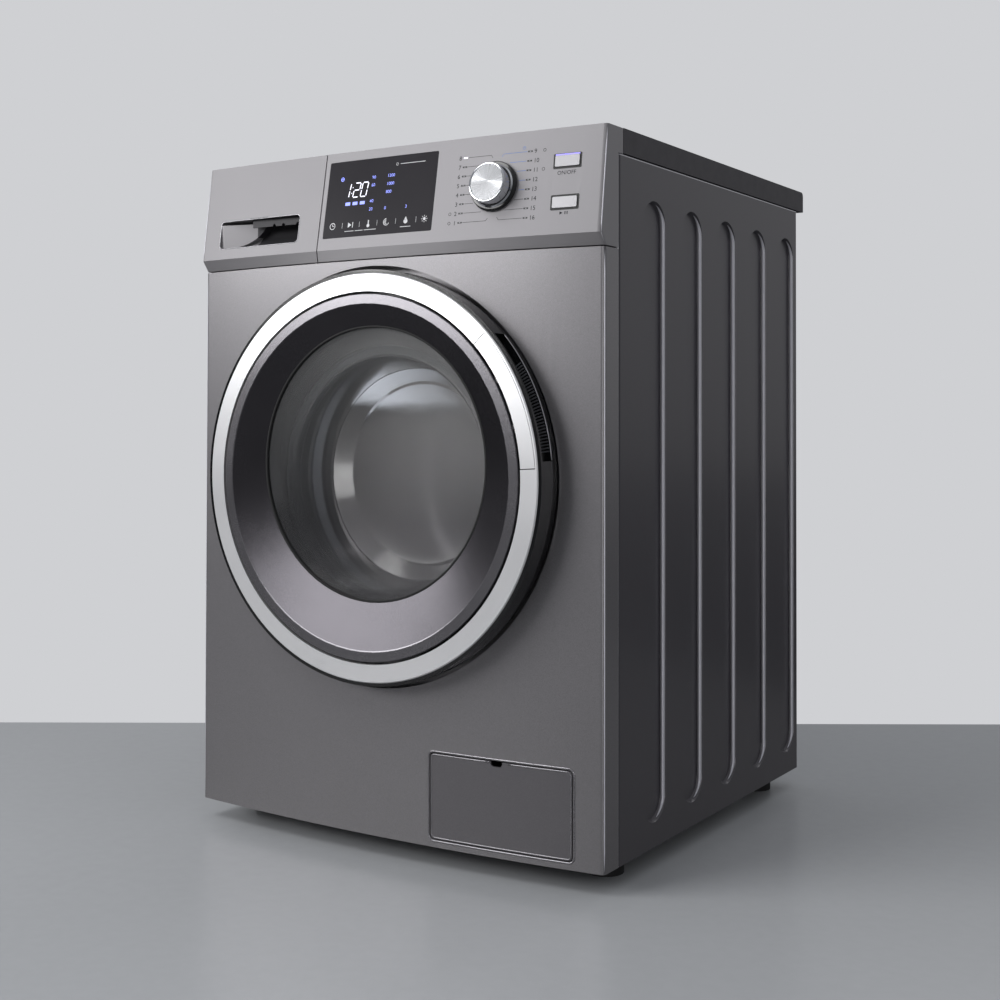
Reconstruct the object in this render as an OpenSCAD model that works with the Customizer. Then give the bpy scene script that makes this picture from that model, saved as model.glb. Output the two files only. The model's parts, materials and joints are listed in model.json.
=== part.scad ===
// Front-loading washer dryer: one drum that washes and dries behind a round door.
// The front faces -Y, +X is the right-hand side seen from the front and +Z is up.
// The origin is on the floor under the middle of the machine's own box.
// Depths in this file are counted from the cabinet's front corners, backwards.

/* [Cabinet] */
// Width over the two side panels
body_w = 595; // [585:1:620]
// Height from the floor to the worktop
body_h = 850; // [846:1:870]
// Depth of the side panels behind the front corners
side_d = 580; // [570:1:620]
// Height of the cabinet's lower edge above the floor
under_z = 25; // [23:1:30]
// Thickness of the steel sheets
sheet = 1.2; // [0.8:0.1:1.5]
// Thickness of the worktop
worktop_t = 28.5; // [24:0.5:32]
// How far the worktop stands out behind the side panels
worktop_over = 25; // [24:1:40]
// How far the front wraps round the sides
wrap_d = 33; // [30:1:36]
// Radius of the upright front corners
corner_r = 5; // [4:0.5:7]
// Bow of the front panel at its lower edge
bow_low = 17; // [12:1:20]
// Bow of the front panel at its upper edge
bow_high = 22.4; // [18:0.2:24]

/* [Side channels] */
// Number of upright channels pressed into each side
channel_count = 5; // [3:1:6]
// Width of a channel
channel_w = 58; // [40:1:64]
// Depth of a channel
channel_deep = 6; // [3:0.5:7]
// Distance from the front corners to the first channel's middle
channel_first = 122.8; // [110:0.1:130]
// Distance from the last channel's middle to the back edge
channel_last = 43; // [40:1:60]

/* [Control panel] */
// Distance from the top down to the front panel's upper edge
control_h = 137.5; // [136:0.5:139]
// Height of the sharp crease above the front panel's upper edge
crease_up = 15; // [13:0.5:17]
// How far the crease stands in front of the corners
crease_out = 9.1; // [6:0.1:12]
// Bow of the crease
crease_bow = 14.6; // [10:0.2:18]
// How far the upper edge lies behind the corners
lean = 6.5; // [4:0.5:9]
// Bow of the upper edge
top_bow = 8.9; // [6:0.1:12]
// Thickness of the moulded walls
wall = 2.5; // [2:0.1:3]
// Room for the figures between the display and the lamps
figure_room = 35.6; // [33:0.1:59]
// Height of the display window
display_h = 96; // [80:1:100]
// Radius of the knob's skirt
knob_r = 30; // [26:0.5:32]
// How far the knob stands out
knob_out = 18; // [14:1:22]
// Travel of the two push buttons
press = 1.5; // [1:0.1:2]

/* [Dispenser drawer] */
// Width of the drawer's front
drawer_w = 206; // [204:1:210]
// Space between the drawer's tray and the middle rail
tray_room = 25.5; // [24:0.5:40]
// Height of the drawer's tray
tray_h = 61; // [50:1:62]

/* [Door] */
// Space between the door and each side of the machine
door_gap = 52.5; // [51.5:0.5:56]
// Space between the door and the front panel's upper edge
door_top = 14.5; // [13.5:0.5:16]
// Height of the door's lowest point above the floor
door_foot = 208; // [206:0.5:212]
// Width of the bright trim ring
trim_w = 21.7; // [20:0.1:23]
// Width of the ring and the funnel between the door's edge and its glass
funnel_w = 82.5; // [81:0.5:86]
// How far the glass rim sits above the door's middle
glass_up = 15.5; // [10:0.5:16]
// How far the door stands in front of the corners
door_out = 50; // [49:0.5:53]
// Thickness of the door's glass
glass_t = 4; // [3:0.5:5]

/* [Tub and drum] */
// How much smaller than the door the drum is, on the radius
drum_inset = 7; // [5:0.5:9]
// Space between the drum and the tub's outer wall
tub_gap = 20; // [19:0.5:20.5]
// Space behind the tub for its hub and the belt
rear_room = 140; // [130:1:150]
// Number of lifters in the drum
lifter_count = 3; // [2:1:4]
// Radius of the drum's shaft
shaft_r = 15; // [12:0.5:16]
// Outer radius of the shaft bearings
bearing_r = 31; // [28:0.5:33]
// Width of a shaft bearing
bearing_w = 16; // [12:1:18]
// Radius of the drum's pulley
pulley_r = 140; // [120:1:145]
// Radius of the motor's pulley
motor_pulley_r = 11; // [9:0.5:13]
// Thickness of the drive belt
belt_t = 3; // [2:0.5:4]
// Turns of each tub spring
spring_turns = 8; // [6:1:10]

/* [Dryer] */
// Radius of the fan wheel
fan_r = 54; // [44:1:55]
// Number of fan blades
blade_count = 14; // [8:1:18]

/* [Service flap and feet] */
// Width of the service flap's opening
flap_w = 184.6; // [160:0.2:186]
// Height of the service flap's opening
flap_h = 101; // [94:1:102]
// Radius of the pump filter's body
filter_r = 27; // [22:0.5:28]
// Radius of a foot's pad
foot_r = 22; // [16:1:24]
// Radius of a foot's screwed stud
stud_r = 5; // [4:0.5:6]

/* [Hidden] */

$fn = 96;
small_fn = 48;

// Clearances
run = 0.05;
slip = 0.4;
reveal = 1.6;
tiny = 0.01;
past = 5;

// Colours
platinum = [0.56, 0.55, 0.56];
dark_metal = [0.25, 0.25, 0.27];
silver = [0.85, 0.86, 0.88];
black = [0.06, 0.06, 0.07];
steel = [0.72, 0.73, 0.75];
grey = [0.55, 0.56, 0.58];

// Planes of the cabinet
half_w = body_w / 2;
panel_top = body_h - control_h;
crease_z = panel_top + crease_up;
top_gap = 2;
side_top = body_h - worktop_t - top_gap;
wrap_back = wrap_d - 1;
back_y = side_d + worktop_over;
centre_y = (back_y - door_out) / 2;
recess_y = 6;
floor_back = recess_y + sheet;
flange_w = 14;
rail_w = 24;
rail_h = 12;
rail_top = side_top - sheet;
rail_y = [wrap_d + 7, side_d / 2 - rail_w / 2, side_d - 35];
bow_steps = 40;

// Control panel
ctrl_low = panel_top + reveal;
ctrl_top = body_h - 0.5;
split_x = drawer_w - half_w;
ctrl_span = ctrl_top - crease_z;
knob_x = half_w - 137.5;
knob_z = crease_z + 59.5;
lamp_rows = 8;
lamp_pitch = 11;
lamp_gap = 43;
lamp_size = [6, 1.8];
display_low = split_x + 6.4;
display_w = knob_x - lamp_gap - lamp_size.x / 2 - figure_room - display_low;
display_x = display_low + display_w / 2;
display_z = crease_z + 62.5;
key_x = half_w - 46.1;
key_drop = 23.6;
key_size = [31, 13.4];
bezel_rim = 2.2;

// Door and recess: the door is as large as both the width and the height allow
door_r = min(half_w - door_gap, (panel_top - door_top - door_foot) / 2);
axis_z = panel_top - door_top - door_r;
glass_r = door_r - funnel_w;
lip_x = -8;
lip_r = door_r + 7;
throat_r = glass_r + 3.5;
trim_r = door_r - 4;
trim_in = trim_r - trim_w;
lever_out = trim_r - 3;
latch_turn = 23.85;
lever_half = 20.1;
pivot_u = trim_in - 6.3;
pivot_y = 9.5 - door_out;
hinge_x = 20 - door_r;
hinge_y = 25 - door_out;
hinge_pin_r = 4;
knuckle_r = 7;
bowl_front = glass_r - 14;
ledge_y = 13 - door_out;

// Drum train, counted back from the recess floor
drum_r = door_r - drum_inset;
tub_r = drum_r + tub_gap;
tub_y = recess_y + 60;
split_y = rail_y[1] - 22;
tub_back = side_d - rear_room;
drum_y = tub_y + 11;
drum_back = tub_back - 25;
hub_r = bearing_r + 9;
hub_back = tub_back + 62;
pulley_y = hub_back + 6;
pulley_w = 20;
mouth_r = glass_r - 10.5;
motor_x = -125;
motor_z = 118;
motor_r = 55;
belt_reach = norm([motor_x, axis_z - motor_z]);
spring_x = half_w - 29.5;
spring_low = axis_z + 119;
spring_coil = 14;
wire_r = 2.2;
damper_y = split_y + 40;
damper_gap = 16;
damper_low = [half_w - 61, under_z + 38];
damper_x = 150;
damper_high = [damper_x, axis_z - sqrt(tub_r * tub_r - damper_x * damper_x) - 17.1];
damper_len = norm(damper_high - damper_low);
damper_lean = atan2(damper_high.x - damper_low.x, damper_high.y - damper_low.y);

// Dryer
fan_x = half_w - 112.5;
fan_y = side_d / 2 + 40;
duct_drop = 96.3;
duct_z = rail_top - duct_drop;
duct_h = 54;

// Service flap
flap_x = half_w - 129.2;
flap_z = under_z + 59.3;
flap_gap = 1.2;
flap_r = 6;
flap_pin_r = 2;
flap_lift = 7;
flap_deep = 3.7;
flap_rim = 2.5;
surround_back = 46;
filter_x = flap_x;
filter_z = flap_z + 2;
foot_x = half_w - 45;
foot_y = [wrap_d + 52, side_d - 50];
pad_h = 12;
base_low = under_z + sheet;
base_h = 22;
base_top = base_low + base_h;

// Bow of the front panel at a height
function bow_at(z) = bow_low + (bow_high - bow_low) * (z - under_z) / (panel_top - under_z);

// Depth of the front panel's face
function panel_y(x, z) = -bow_at(z) * (1 - pow(x / half_w, 2));

// Depth of the control panel's face above the crease
function face_y(x, z) =
    let (
        t = (z - crease_z) / ctrl_span,
        open = 1 - pow(x / half_w, 2)
    )
    (1 - t) * (-crease_out - crease_bow * open) + t * (lean - top_bow * open);

// Tilt and turn of the control panel's face
function face_tilt(x) = atan((face_y(x, ctrl_top) - face_y(x, crease_z)) / ctrl_span);
function face_turn(x, z) = atan((face_y(x + 1, z) - face_y(x - 1, z)) / 2);

// Plan of the bowed front with rounded corners
function outline(bow, end_y, back, inset) =
    let (
        c = half_w - corner_r,
        cy = end_y + corner_r - bow * (1 - pow(c / half_w, 2)),
        r = corner_r - inset
    )
    concat(
        [[-half_w + inset, back]],
        [for (a = [180 : 18 : 252]) [-c + r * cos(a), cy + r * sin(a)]],
        [for (i = [0 : bow_steps])
            let (x = c * (2 * i / bow_steps - 1))
            [x, end_y - bow * (1 - pow(x / half_w, 2)) + inset]],
        [for (a = [288 : 18 : 360]) [c + r * cos(a), cy + r * sin(a)]],
        [[half_w - inset, back]]
    );

function level(points, z) = [for (p = points) [p.x, p.y, z]];

// Ring of the door's lofted pieces, in the door's own frame
function hoop(y, up, r) = [for (i = [0 : 71]) [r * cos(i * 5), r * sin(i * 5) - up, y]];

// Moves a sub-part into the machine's frame
module placed() {
    translate([0, -centre_y, 0]) children();
}

// Solid through closed outlines of equal length, from the first to the last
module stacked(rings) {
    n = len(rings[0]);
    m = len(rings);
    polyhedron(
        points = [for (ring = rings) for (p = ring) p],
        faces = concat(
            [[for (i = [0 : n - 1]) i]],
            [for (k = [0 : m - 2]) for (i = [0 : n - 1])
                [k * n + i, (k + 1) * n + i, (k + 1) * n + (i + 1) % n]],
            [for (k = [0 : m - 2]) for (i = [0 : n - 1])
                [k * n + i, (k + 1) * n + (i + 1) % n, k * n + (i + 1) % n]],
            [[for (i = [n - 1 : -1 : 0]) (m - 1) * n + i]]
        )
    );
}

// Ring-shaped solid through outlines that close on themselves
module looped(rings) {
    n = len(rings[0]);
    m = len(rings);
    polyhedron(
        points = [for (ring = rings) for (p = ring) p],
        faces = concat(
            [for (k = [0 : m - 1]) for (i = [0 : n - 1])
                [k * n + i, ((k + 1) % m) * n + i, ((k + 1) % m) * n + (i + 1) % n]],
            [for (k = [0 : m - 1]) for (i = [0 : n - 1])
                [k * n + i, ((k + 1) % m) * n + (i + 1) % n, k * n + (i + 1) % n]]
        )
    );
}

module rod_y(r, y0, y1, x = 0, z = 0) {
    translate([x, y0, z]) rotate([-90, 0, 0]) cylinder(r = r, h = y1 - y0);
}

module tube_y(r, bore, y0, y1, x = 0, z = 0) {
    difference() {
        rod_y(r, y0, y1, x, z);
        rod_y(bore, y0 - 1, y1 + 1, x, z);
    }
}

// Solid turned about the drum's axis from radius and depth pairs
module turned(points) {
    translate([0, 0, axis_z]) rotate([-90, 0, 0]) rotate_extrude() polygon(points);
}

module block(low, high) {
    translate(low) cube(high - low);
}

module rounded(size, r) {
    square([size.x, size.y - 2 * r], center = true);
    square([size.x - 2 * r, size.y], center = true);
    for (x = [-1, 1], y = [-1, 1]) {
        translate([x * (size.x / 2 - r), y * (size.y / 2 - r)]) circle(r, $fn = small_fn);
    }
}

// Rounded bar running backwards, centred on x and z
module bar_y(size, r, y0, y1, x, z) {
    translate([x, y1, z]) rotate([90, 0, 0]) linear_extrude(y1 - y0) rounded(size, r);
}

// Frame of the lever: +X runs outwards at the middle of the handle
module at_latch() {
    translate([0, 0, axis_z]) rotate([0, -latch_turn, 0]) children();
}

// Wedge that spans an angle to both sides of the handle's middle
module wedge(half_angle, y0, y1) {
    far = 300;
    translate([0, y1, 0]) rotate([90, 0, 0]) linear_extrude(y1 - y0) {
        polygon([
            [0, 0],
            [far * cos(half_angle), -far * sin(half_angle)],
            [far * 1.4, -far * 1.4 * tan(half_angle / 2)],
            [far * 1.4, far * 1.4 * tan(half_angle / 2)],
            [far * cos(half_angle), far * sin(half_angle)]
        ]);
    }
}

// Frame on the control panel's face: -Y points out of it
module on_face(x, z) {
    translate([x, face_y(x, z), z]) rotate([-face_tilt(x), 0, face_turn(x, z)]) children();
}

// ---- Cabinet ----

module front_solid(inset, low, high, back) {
    stacked([
        level(outline(bow_at(low), 0, back, inset), low),
        level(outline(bow_at(high), 0, back, inset), high)
    ]);
}

// One pressed channel, wider at its mouth than at its floor
module channel(grow) {
    mouth = channel_w / 2 + grow;
    floor_r = mouth - channel_deep / 2;
    low = under_z + 29 + channel_w / 2;
    high = side_top - 42.5 - channel_w / 2;
    for (z = [low, high]) {
        translate([half_w, 0, z]) rotate([0, -90, 0])
            cylinder(r1 = mouth, r2 = floor_r, h = channel_deep + grow);
    }
    translate([0, 0, low]) linear_extrude(high - low) {
        polygon([
            [half_w, -mouth],
            [half_w, mouth],
            [half_w - channel_deep - grow, floor_r],
            [half_w - channel_deep - grow, -floor_r]
        ]);
    }
}

// Folded plan of a side panel with its front and back returns
module side_plan() {
    r = 4;
    difference() {
        translate([half_w - flange_w, wrap_d]) square([flange_w, side_d - wrap_d]);
        translate([half_w - flange_w - 1, wrap_d + sheet])
            square([flange_w + 1 - sheet, side_d - wrap_d - 2 * sheet]);
        for (y = [wrap_d, side_d]) {
            difference() {
                translate([half_w - r, y - r]) square(2 * r);
                translate([half_w - r, y == wrap_d ? y + r : y - r]) circle(r, $fn = small_fn);
                translate([half_w - r - 1, y == wrap_d ? y + r : y - 3 * r]) square([3 * r, 2 * r]);
                translate([half_w - 3 * r, y - 2 * r]) square([2 * r, 4 * r]);
            }
        }
    }
}

module side_panel() {
    pitch = (side_d - channel_last - channel_first) / (channel_count - 1);
    difference() {
        union() {
            translate([0, 0, under_z]) linear_extrude(side_top - under_z) side_plan();
            for (z = [under_z, side_top - sheet]) {
                block([half_w - 20, wrap_d + sheet, z],
                    [half_w - sheet / 2, side_d - sheet, z + sheet]);
            }
            for (i = [0 : channel_count - 1]) {
                intersection() {
                    translate([0, channel_first + i * pitch, 0]) channel(sheet);
                    block([0, wrap_d, under_z], [half_w - sheet / 2, side_d, side_top]);
                }
            }
        }
        for (i = [0 : channel_count - 1]) {
            translate([0, channel_first + i * pitch, 0]) channel(0);
            translate([tiny, channel_first + i * pitch, 0]) channel(0);
        }
    }
}

module side_panel_right() {
    color(dark_metal) placed() side_panel();
}

module side_panel_left() {
    color(dark_metal) placed() mirror([1, 0, 0]) side_panel();
}

module flap_shape(grow, r, y0, y1) {
    bar_y([flap_w + 2 * grow, flap_h + 2 * grow], r + grow, y0, y1, flap_x, flap_z);
}

module hinge_slot() {
    block([hinge_x - 5, recess_y - 1, axis_z - 13.5], [hinge_x + 5, floor_back + 1, axis_z + 13.5]);
}

// Skin, dished door recess, throat flange and service opening in one pressing
module front_panel() {
    color(platinum) placed() difference() {
        union() {
            difference() {
                front_solid(0, under_z, panel_top, wrap_back);
                difference() {
                    front_solid(sheet, under_z, panel_top, wrap_back + 1);
                    block([-half_w, -door_out, under_z - 1], [half_w, wrap_d, under_z + sheet]);
                    block([-half_w, -door_out, panel_top - sheet], [half_w, wrap_d, body_h]);
                }
                rod_y(lip_r, -door_out, recess_y, lip_x, axis_z);
            }
            for (x = [-half_w + sheet / 2, half_w - flange_w + 2]) {
                block([x, wrap_back - sheet, under_z],
                    [x + flange_w - 2 - sheet / 2, wrap_back, panel_top]);
            }
            intersection() {
                front_solid(0, under_z, panel_top, wrap_back);
                tube_y(lip_r + sheet, lip_r, -door_out, floor_back, lip_x, axis_z);
            }
            difference() {
                rod_y(lip_r + sheet / 2, recess_y, floor_back, lip_x, axis_z);
                rod_y(throat_r, 0, wrap_d, 0, axis_z);
            }
            tube_y(throat_r + sheet, throat_r, recess_y, recess_y + 10, 0, axis_z);
        }
        flap_shape(0, flap_r, -door_out, 0);
        hinge_slot();
        at_latch() block([pivot_u - 1.5, 0, -4], [lever_out, floor_back + 1, 4]);
    }
}

rear_open = [320, 400];
rear_z = axis_z - 40;
valve_x = [-half_w + 97.5, -half_w + 147.5];
valve_z = side_top - 52;
valve_r = 13.2;
outlet_x = half_w - 60;
outlet_z = axis_z + 230;
outlet_r = 11;
gland_x = half_w - 60;
gland_z = side_top - 60;
cord_r = 5;

module rear_panel() {
    color(dark_metal) placed() difference() {
        block([-half_w + 3, side_d, under_z + 2], [half_w - 3, side_d + sheet, side_top - 2]);
        bar_y(rear_open, 20, side_d - 1, side_d + 3, 0, rear_z);
        for (x = valve_x) {
            rod_y(valve_r + 1, side_d - 1, side_d + 3, x, valve_z);
        }
        rod_y(outlet_r + 2, side_d - 1, side_d + 3, outlet_x, outlet_z);
        rod_y(cord_r + 4, side_d - 1, side_d + 3, gland_x, gland_z);
    }
}

module rear_cover() {
    y = side_d + sheet;
    color(dark_metal) placed() difference() {
        union() {
            bar_y(rear_open + [30, 30], 24, y, y + 1.5, 0, rear_z);
            bar_y(rear_open - [20, 20], 20, y, y + 10, 0, rear_z);
        }
        bar_y(rear_open - [23, 23], 18.5, y - 1, y + 8.5, 0, rear_z);
    }
}

// Tray frame under the machine, with a boss for each foot
module base_frame() {
    x = half_w - sheet - 0.3;
    y0 = wrap_d + sheet + 0.3;
    y1 = side_d - sheet - 0.3;
    beam = 58;
    color(black) placed() difference() {
        union() {
            difference() {
                block([-x, y0, base_low], [x, y1, base_top]);
                block([-x + beam, y0 + beam, base_low - 1], [x - beam, y1 - beam, base_top + 1]);
            }
            for (side = [-1, 1], y = foot_y) {
                translate([side * foot_x, y, pad_h + 6 + slip])
                    cylinder(r = 13, h = base_low - pad_h - 5);
            }
            for (side = [-1, 1], gap = [-1, 1]) {
                translate([side * damper_low.x, damper_y + gap * damper_gap, base_top - 1])
                    block([-14, -1.5, 0], [14, 1.5, damper_low.y - base_top + 12]);
            }
        }
        for (side = [-1, 1], y = foot_y) {
            translate([side * foot_x, y, pad_h]) cylinder(r = stud_r + run, h = base_top);
        }
        for (side = [-1, 1]) {
            rod_y(4, damper_y - 20, damper_y + 20, side * damper_low.x, damper_low.y);
        }
        block([flap_x - flap_w / 2 - 8, 0, under_z],
            [flap_x + flap_w / 2 + 8, surround_back + 1, body_h]);
        for (side = [-1, 1]) {
            block([side * half_w / 2 - 50, y1 - beam + 12, base_low + 3],
                [side * half_w / 2 + 50, y1 - 12, base_top + 1]);
        }
    }
}

module worktop() {
    r = 6;
    color(dark_metal) placed() {
        intersection() {
            block([-half_w, wrap_d + 11.4, side_top + top_gap], [half_w, back_y, body_h]);
            union() {
                block([-half_w, 0, 0], [half_w, back_y - r, body_h]);
                block([-half_w, 0, 0], [half_w, back_y, body_h - r]);
                translate([-half_w, back_y - r, body_h - r]) rotate([0, 90, 0])
                    cylinder(r = r, h = body_w, $fn = small_fn);
            }
        }
        block([-half_w + 4, wrap_d + 14, side_top], [half_w - 4, side_d - 4, side_top + top_gap]);
    }
}

// Three cross rails that stiffen the cabinet and carry the worktop
module top_rails() {
    x = half_w - sheet;
    color(steel) placed() for (y = rail_y) {
        difference() {
            block([-x, y, rail_top - rail_h], [x, y + rail_w, rail_top]);
            block([-x - 1, y + 1.5, rail_top - rail_h - 1], [x + 1, y + rail_w - 1.5, rail_top - 1.5]);
        }
    }
}

// ---- Control panel ----

module panel_solid(inset, back) {
    low = ctrl_low + inset;
    high = ctrl_top - inset;
    t = inset / ctrl_span;
    stacked([
        level(outline(bow_high, 0.5, back, inset), low),
        level(outline(crease_bow, -crease_out, back, inset), crease_z + inset / 2),
        level(outline((1 - t) * top_bow + t * crease_bow, lean - t * (lean + crease_out), back, inset),
            high)
    ]);
}

module panel_band(from, to) {
    difference() {
        panel_solid(from, wrap_d + 10);
        panel_solid(to, wrap_d + 11);
    }
}

module panel_shell() {
    difference() {
        panel_band(0, wall);
        block([-half_w - 1, wrap_back, 0], [half_w + 1, wrap_d + 20, side_top + 1]);
    }
}

module lamp_spots(grow) {
    for (side = [-1, 1], i = [0 : lamp_rows - 1]) {
        bar_y(lamp_size + [2 * grow, 2 * grow], 0.4, -door_out, wrap_back,
            knob_x + side * lamp_gap, knob_z + lamp_pitch * (i - (lamp_rows - 1) / 2));
    }
}

module key_cut(z, grow, deep) {
    size = key_size + [2 * grow, 2 * grow];
    on_face(key_x, z) rotate([90, 0, 0]) translate([0, 0, -deep])
        linear_extrude(deep + 10) rounded(size, 1.5);
}

key_z = [knob_z + key_drop, knob_z - key_drop];

module control_fascia() {
    color(grey) placed() difference() {
        union() {
            intersection() {
                panel_shell();
                block([split_x, -door_out, 0], [half_w + 1, wrap_d + 20, body_h]);
            }
            on_face(knob_x, knob_z) rod_y(9, wall - 1, wall + 9);
            block([split_x + 30, wrap_back - 8, rail_top - 10], [half_w - 30, rail_y[0], rail_top]);
            intersection() {
                panel_solid(wall - tiny, wrap_d + 9);
                for (x = [display_x + display_w / 2 + 12, key_x - key_size.x / 2 - 12]) {
                    block([x - 4, -door_out, rail_top - 10], [x + 4, wrap_back, rail_top]);
                }
            }
            intersection() {
                panel_solid(wall - tiny, wrap_back);
                block([split_x, -door_out, 0], [split_x + wall, wrap_back - 2, body_h]);
            }
        }
        bar_y([display_w, display_h], 2, -door_out, 20, display_x, display_z);
        lamp_spots(run);
        on_face(knob_x, knob_z) rod_y(3 + run, -5, wall + 15);
        for (z = key_z) {
            key_cut(z, bezel_rim, 20);
        }
    }
}

module display_window() {
    color([0.08, 0.08, 0.1]) placed() {
        intersection() {
            panel_band(0.2, wall + tiny);
            bar_y([display_w - 0.4, display_h - 0.4], 1.8, -door_out, 20, display_x, display_z);
        }
        intersection() {
            panel_band(wall, wall + 1.5);
            bar_y([display_w + 6, display_h + 6], 3, -door_out, 20, display_x, display_z);
        }
    }
}

module indicator_lenses() {
    color([0.5, 0.55, 0.9]) placed() intersection() {
        panel_band(0.1, wall);
        lamp_spots(0);
    }
}

// Turned knob: black skirt, tapered bright barrel and dished face
module knob() {
    color(silver) placed() on_face(knob_x, knob_z) difference() {
        union() {
            rod_y(knob_r, -6, -0.7);
            rotate([90, 0, 0]) translate([0, 0, 6]) {
                cylinder(r1 = knob_r - 3, r2 = knob_r - 5, h = knob_out - 7.5);
                translate([0, 0, knob_out - 7.5])
                    cylinder(r1 = knob_r - 5, r2 = knob_r - 6.5, h = 1.5);
            }
            rod_y(3, -6, wall + 12);
        }
        rod_y(knob_r - 8.5, -knob_out - 1, -knob_out + 0.6);
    }
}

module key(z) {
    size = key_size - [0.8, 0.8];
    placed() on_face(key_x, z) {
        translate([0, 9, 0]) rotate([90, 0, 0]) linear_extrude(10.2) rounded(size, 1.3);
    }
}

module power_button() {
    color(silver) key(key_z[0]);
}

module start_button() {
    color(silver) key(key_z[1]);
}

module button_bezels() {
    color(black) placed() for (z = key_z) {
        difference() {
            union() {
                on_face(key_x, z) translate([0, wall + 2, 0]) rotate([90, 0, 0])
                    linear_extrude(wall + 2) rounded(key_size + [2, 2] * (bezel_rim - run), 1.9);
                on_face(key_x, z) translate([0, wall + 3, 0]) rotate([90, 0, 0])
                    linear_extrude(2.6) rounded(key_size + [8, 8], 2.5);
            }
            key_cut(z, 0, 20);
        }
    }
}

// ---- Dispenser drawer ----

grip_x = -half_w + 101.3;
grip_z = crease_z + 31.5;
grip_size = [138.5, 35];
grip_back = 24;
grip_r = 5;
tray_x = [-half_w + 27.5, split_x - 22];
tray_z = crease_z + 8;
tray_y = grip_back + wall;
tray_l = rail_y[1] - tray_room - tray_y;

// Hollow with a curved floor that the fingers reach into
module grip_hollow() {
    top = grip_z + grip_size.y / 2;
    left = grip_x - grip_size.x / 2;
    sink = grip_size.y + 2;
    intersection() {
        bar_y(grip_size, grip_r, -door_out, grip_back, grip_x, grip_z);
        translate([left - 1, grip_back - sink, top]) rotate([0, 90, 0])
            cylinder(r = sink, h = grip_size.x + 2);
    }
    bar_y(grip_size, grip_r, -door_out, grip_back - sink, grip_x, grip_z);
}

// Pale ramp that falls away along a quarter of an oval, and the lip to pull on
module grip_inlay() {
    top = grip_z + grip_size.y / 2;
    left = grip_x - grip_size.x / 2;
    reach = grip_size.x * 0.46;
    face = face_y(left, grip_z) + 2;
    intersection() {
        translate([left, grip_back + 1, top]) rotate([90, 0, 0]) linear_extrude(grip_back + 20)
            scale([reach, grip_size.y + 0.5]) circle(1);
        linear_extrude(top - 4) polygon([
            [left - 1, face], [left + 4, face], [left + reach, face + 16],
            [left + reach, grip_back + 1], [left - 1, grip_back + 1]
        ]);
        block([left - 1, -door_out, top - grip_size.y - 1], [left + reach, grip_back + 1, top]);
    }
    difference() {
        block([left + grip_size.x * 0.37, face + 3, top - 10],
            [left + grip_size.x + 1, face + 3 + wall, top + 1]);
        for (x = [0.63, 0.74, 0.91]) {
            rod_y(2.5, face, face + 10, left + grip_size.x * x, top - 9.5);
        }
    }
}

module drawer_front() {
    color(grey) placed() {
        difference() {
            union() {
                intersection() {
                    panel_shell();
                    block([-half_w - 1, -door_out, 0], [split_x - reveal, wrap_d + 20, body_h]);
                }
                intersection() {
                    panel_solid(wall - tiny, wrap_back);
                    bar_y(grip_size + [2, 2] * wall, grip_r + wall, -door_out, tray_y, grip_x, grip_z);
                }
                intersection() {
                    panel_solid(wall - tiny, wrap_back);
                    block([split_x - reveal - wall, -door_out, 0], [split_x - reveal, tray_y, body_h]);
                }
                block([tray_x[0] + 4, tray_y - 4, tray_z + 4],
                    [tray_x[1] - 4, tray_y, tray_z + tray_h - 4]);
            }
            grip_hollow();
        }
        grip_inlay();
    }
}

module drawer_tray() {
    cells = [0, 0.42, 0.72, 1];
    w = tray_x[1] - tray_x[0];
    color([0.9, 0.9, 0.92]) placed() difference() {
        block([tray_x[0], tray_y, tray_z], [tray_x[1], tray_y + tray_l, tray_z + tray_h]);
        for (i = [0 : 2]) {
            block([tray_x[0] + w * cells[i] + 2, tray_y + 2, tray_z + 2],
                [tray_x[0] + w * cells[i + 1] - (i == 2 ? 2 : 0), tray_y + tray_l - 2, body_h]);
        }
        block([latch_x - 10, latch_y - 8, tray_z - 1], [latch_x + 10, latch_y + 8, tray_z + 3]);
    }
    color([0.9, 0.9, 0.92]) placed() difference() {
        for (s = [-1, 1]) {
            block([latch_x + s * 12 - 1.5, latch_y - 5, tray_z + 1],
                [latch_x + s * 12 + 1.5, latch_y + 5, latch_z + 5]);
        }
        translate([latch_x - 20, latch_y, latch_z]) rotate([0, 90, 0]) cylinder(r = 2.5 + run, h = 40);
    }
}

latch_x = tray_x[0] + (tray_x[1] - tray_x[0]) * 0.42 + 22;
latch_y = tray_y + tray_l - 16;
latch_z = tray_z + 30;

// Press-down tab that frees the drawer, hung on a cross pin in its cell
module drawer_latch() {
    z = latch_z;
    color([0.2, 0.35, 0.75]) placed() {
        translate([latch_x - 13, latch_y, z]) rotate([0, 90, 0]) cylinder(r = 2.5, h = 26);
        block([latch_x - 8, latch_y - 2, tray_z + 3], [latch_x + 8, latch_y + 2, z]);
        block([latch_x - 8, latch_y - 26, z - 2], [latch_x + 8, latch_y, z + 2]);
    }
}

module dispenser_housing() {
    t = wall;
    x0 = tray_x[0] - slip;
    x1 = tray_x[1] + slip;
    y0 = wrap_d + sheet + 2;
    y1 = tray_y + tray_l + slip + 2;
    z0 = tray_z - slip;
    z1 = tray_z + tray_h + slip + 2;
    color([0.85, 0.85, 0.87]) placed() difference() {
        union() {
            block([x0 - t, y0, z0 - t], [x1 + t, y1 + t, z1 + t]);
            block([x0 + 20, rail_y[0], z1], [x1 - 20, rail_y[0] + rail_w, rail_top - rail_h]);
            rod_y(9, y1, y1 + 30, x1 - 40, z1 - 14);
        }
        block([x0, y0 - 1, z0], [x1, y1, z1]);
        rod_y(6, y1 - 1, y1 + 31, x1 - 40, z1 - 14);
    }
}

// ---- Door ----

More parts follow.
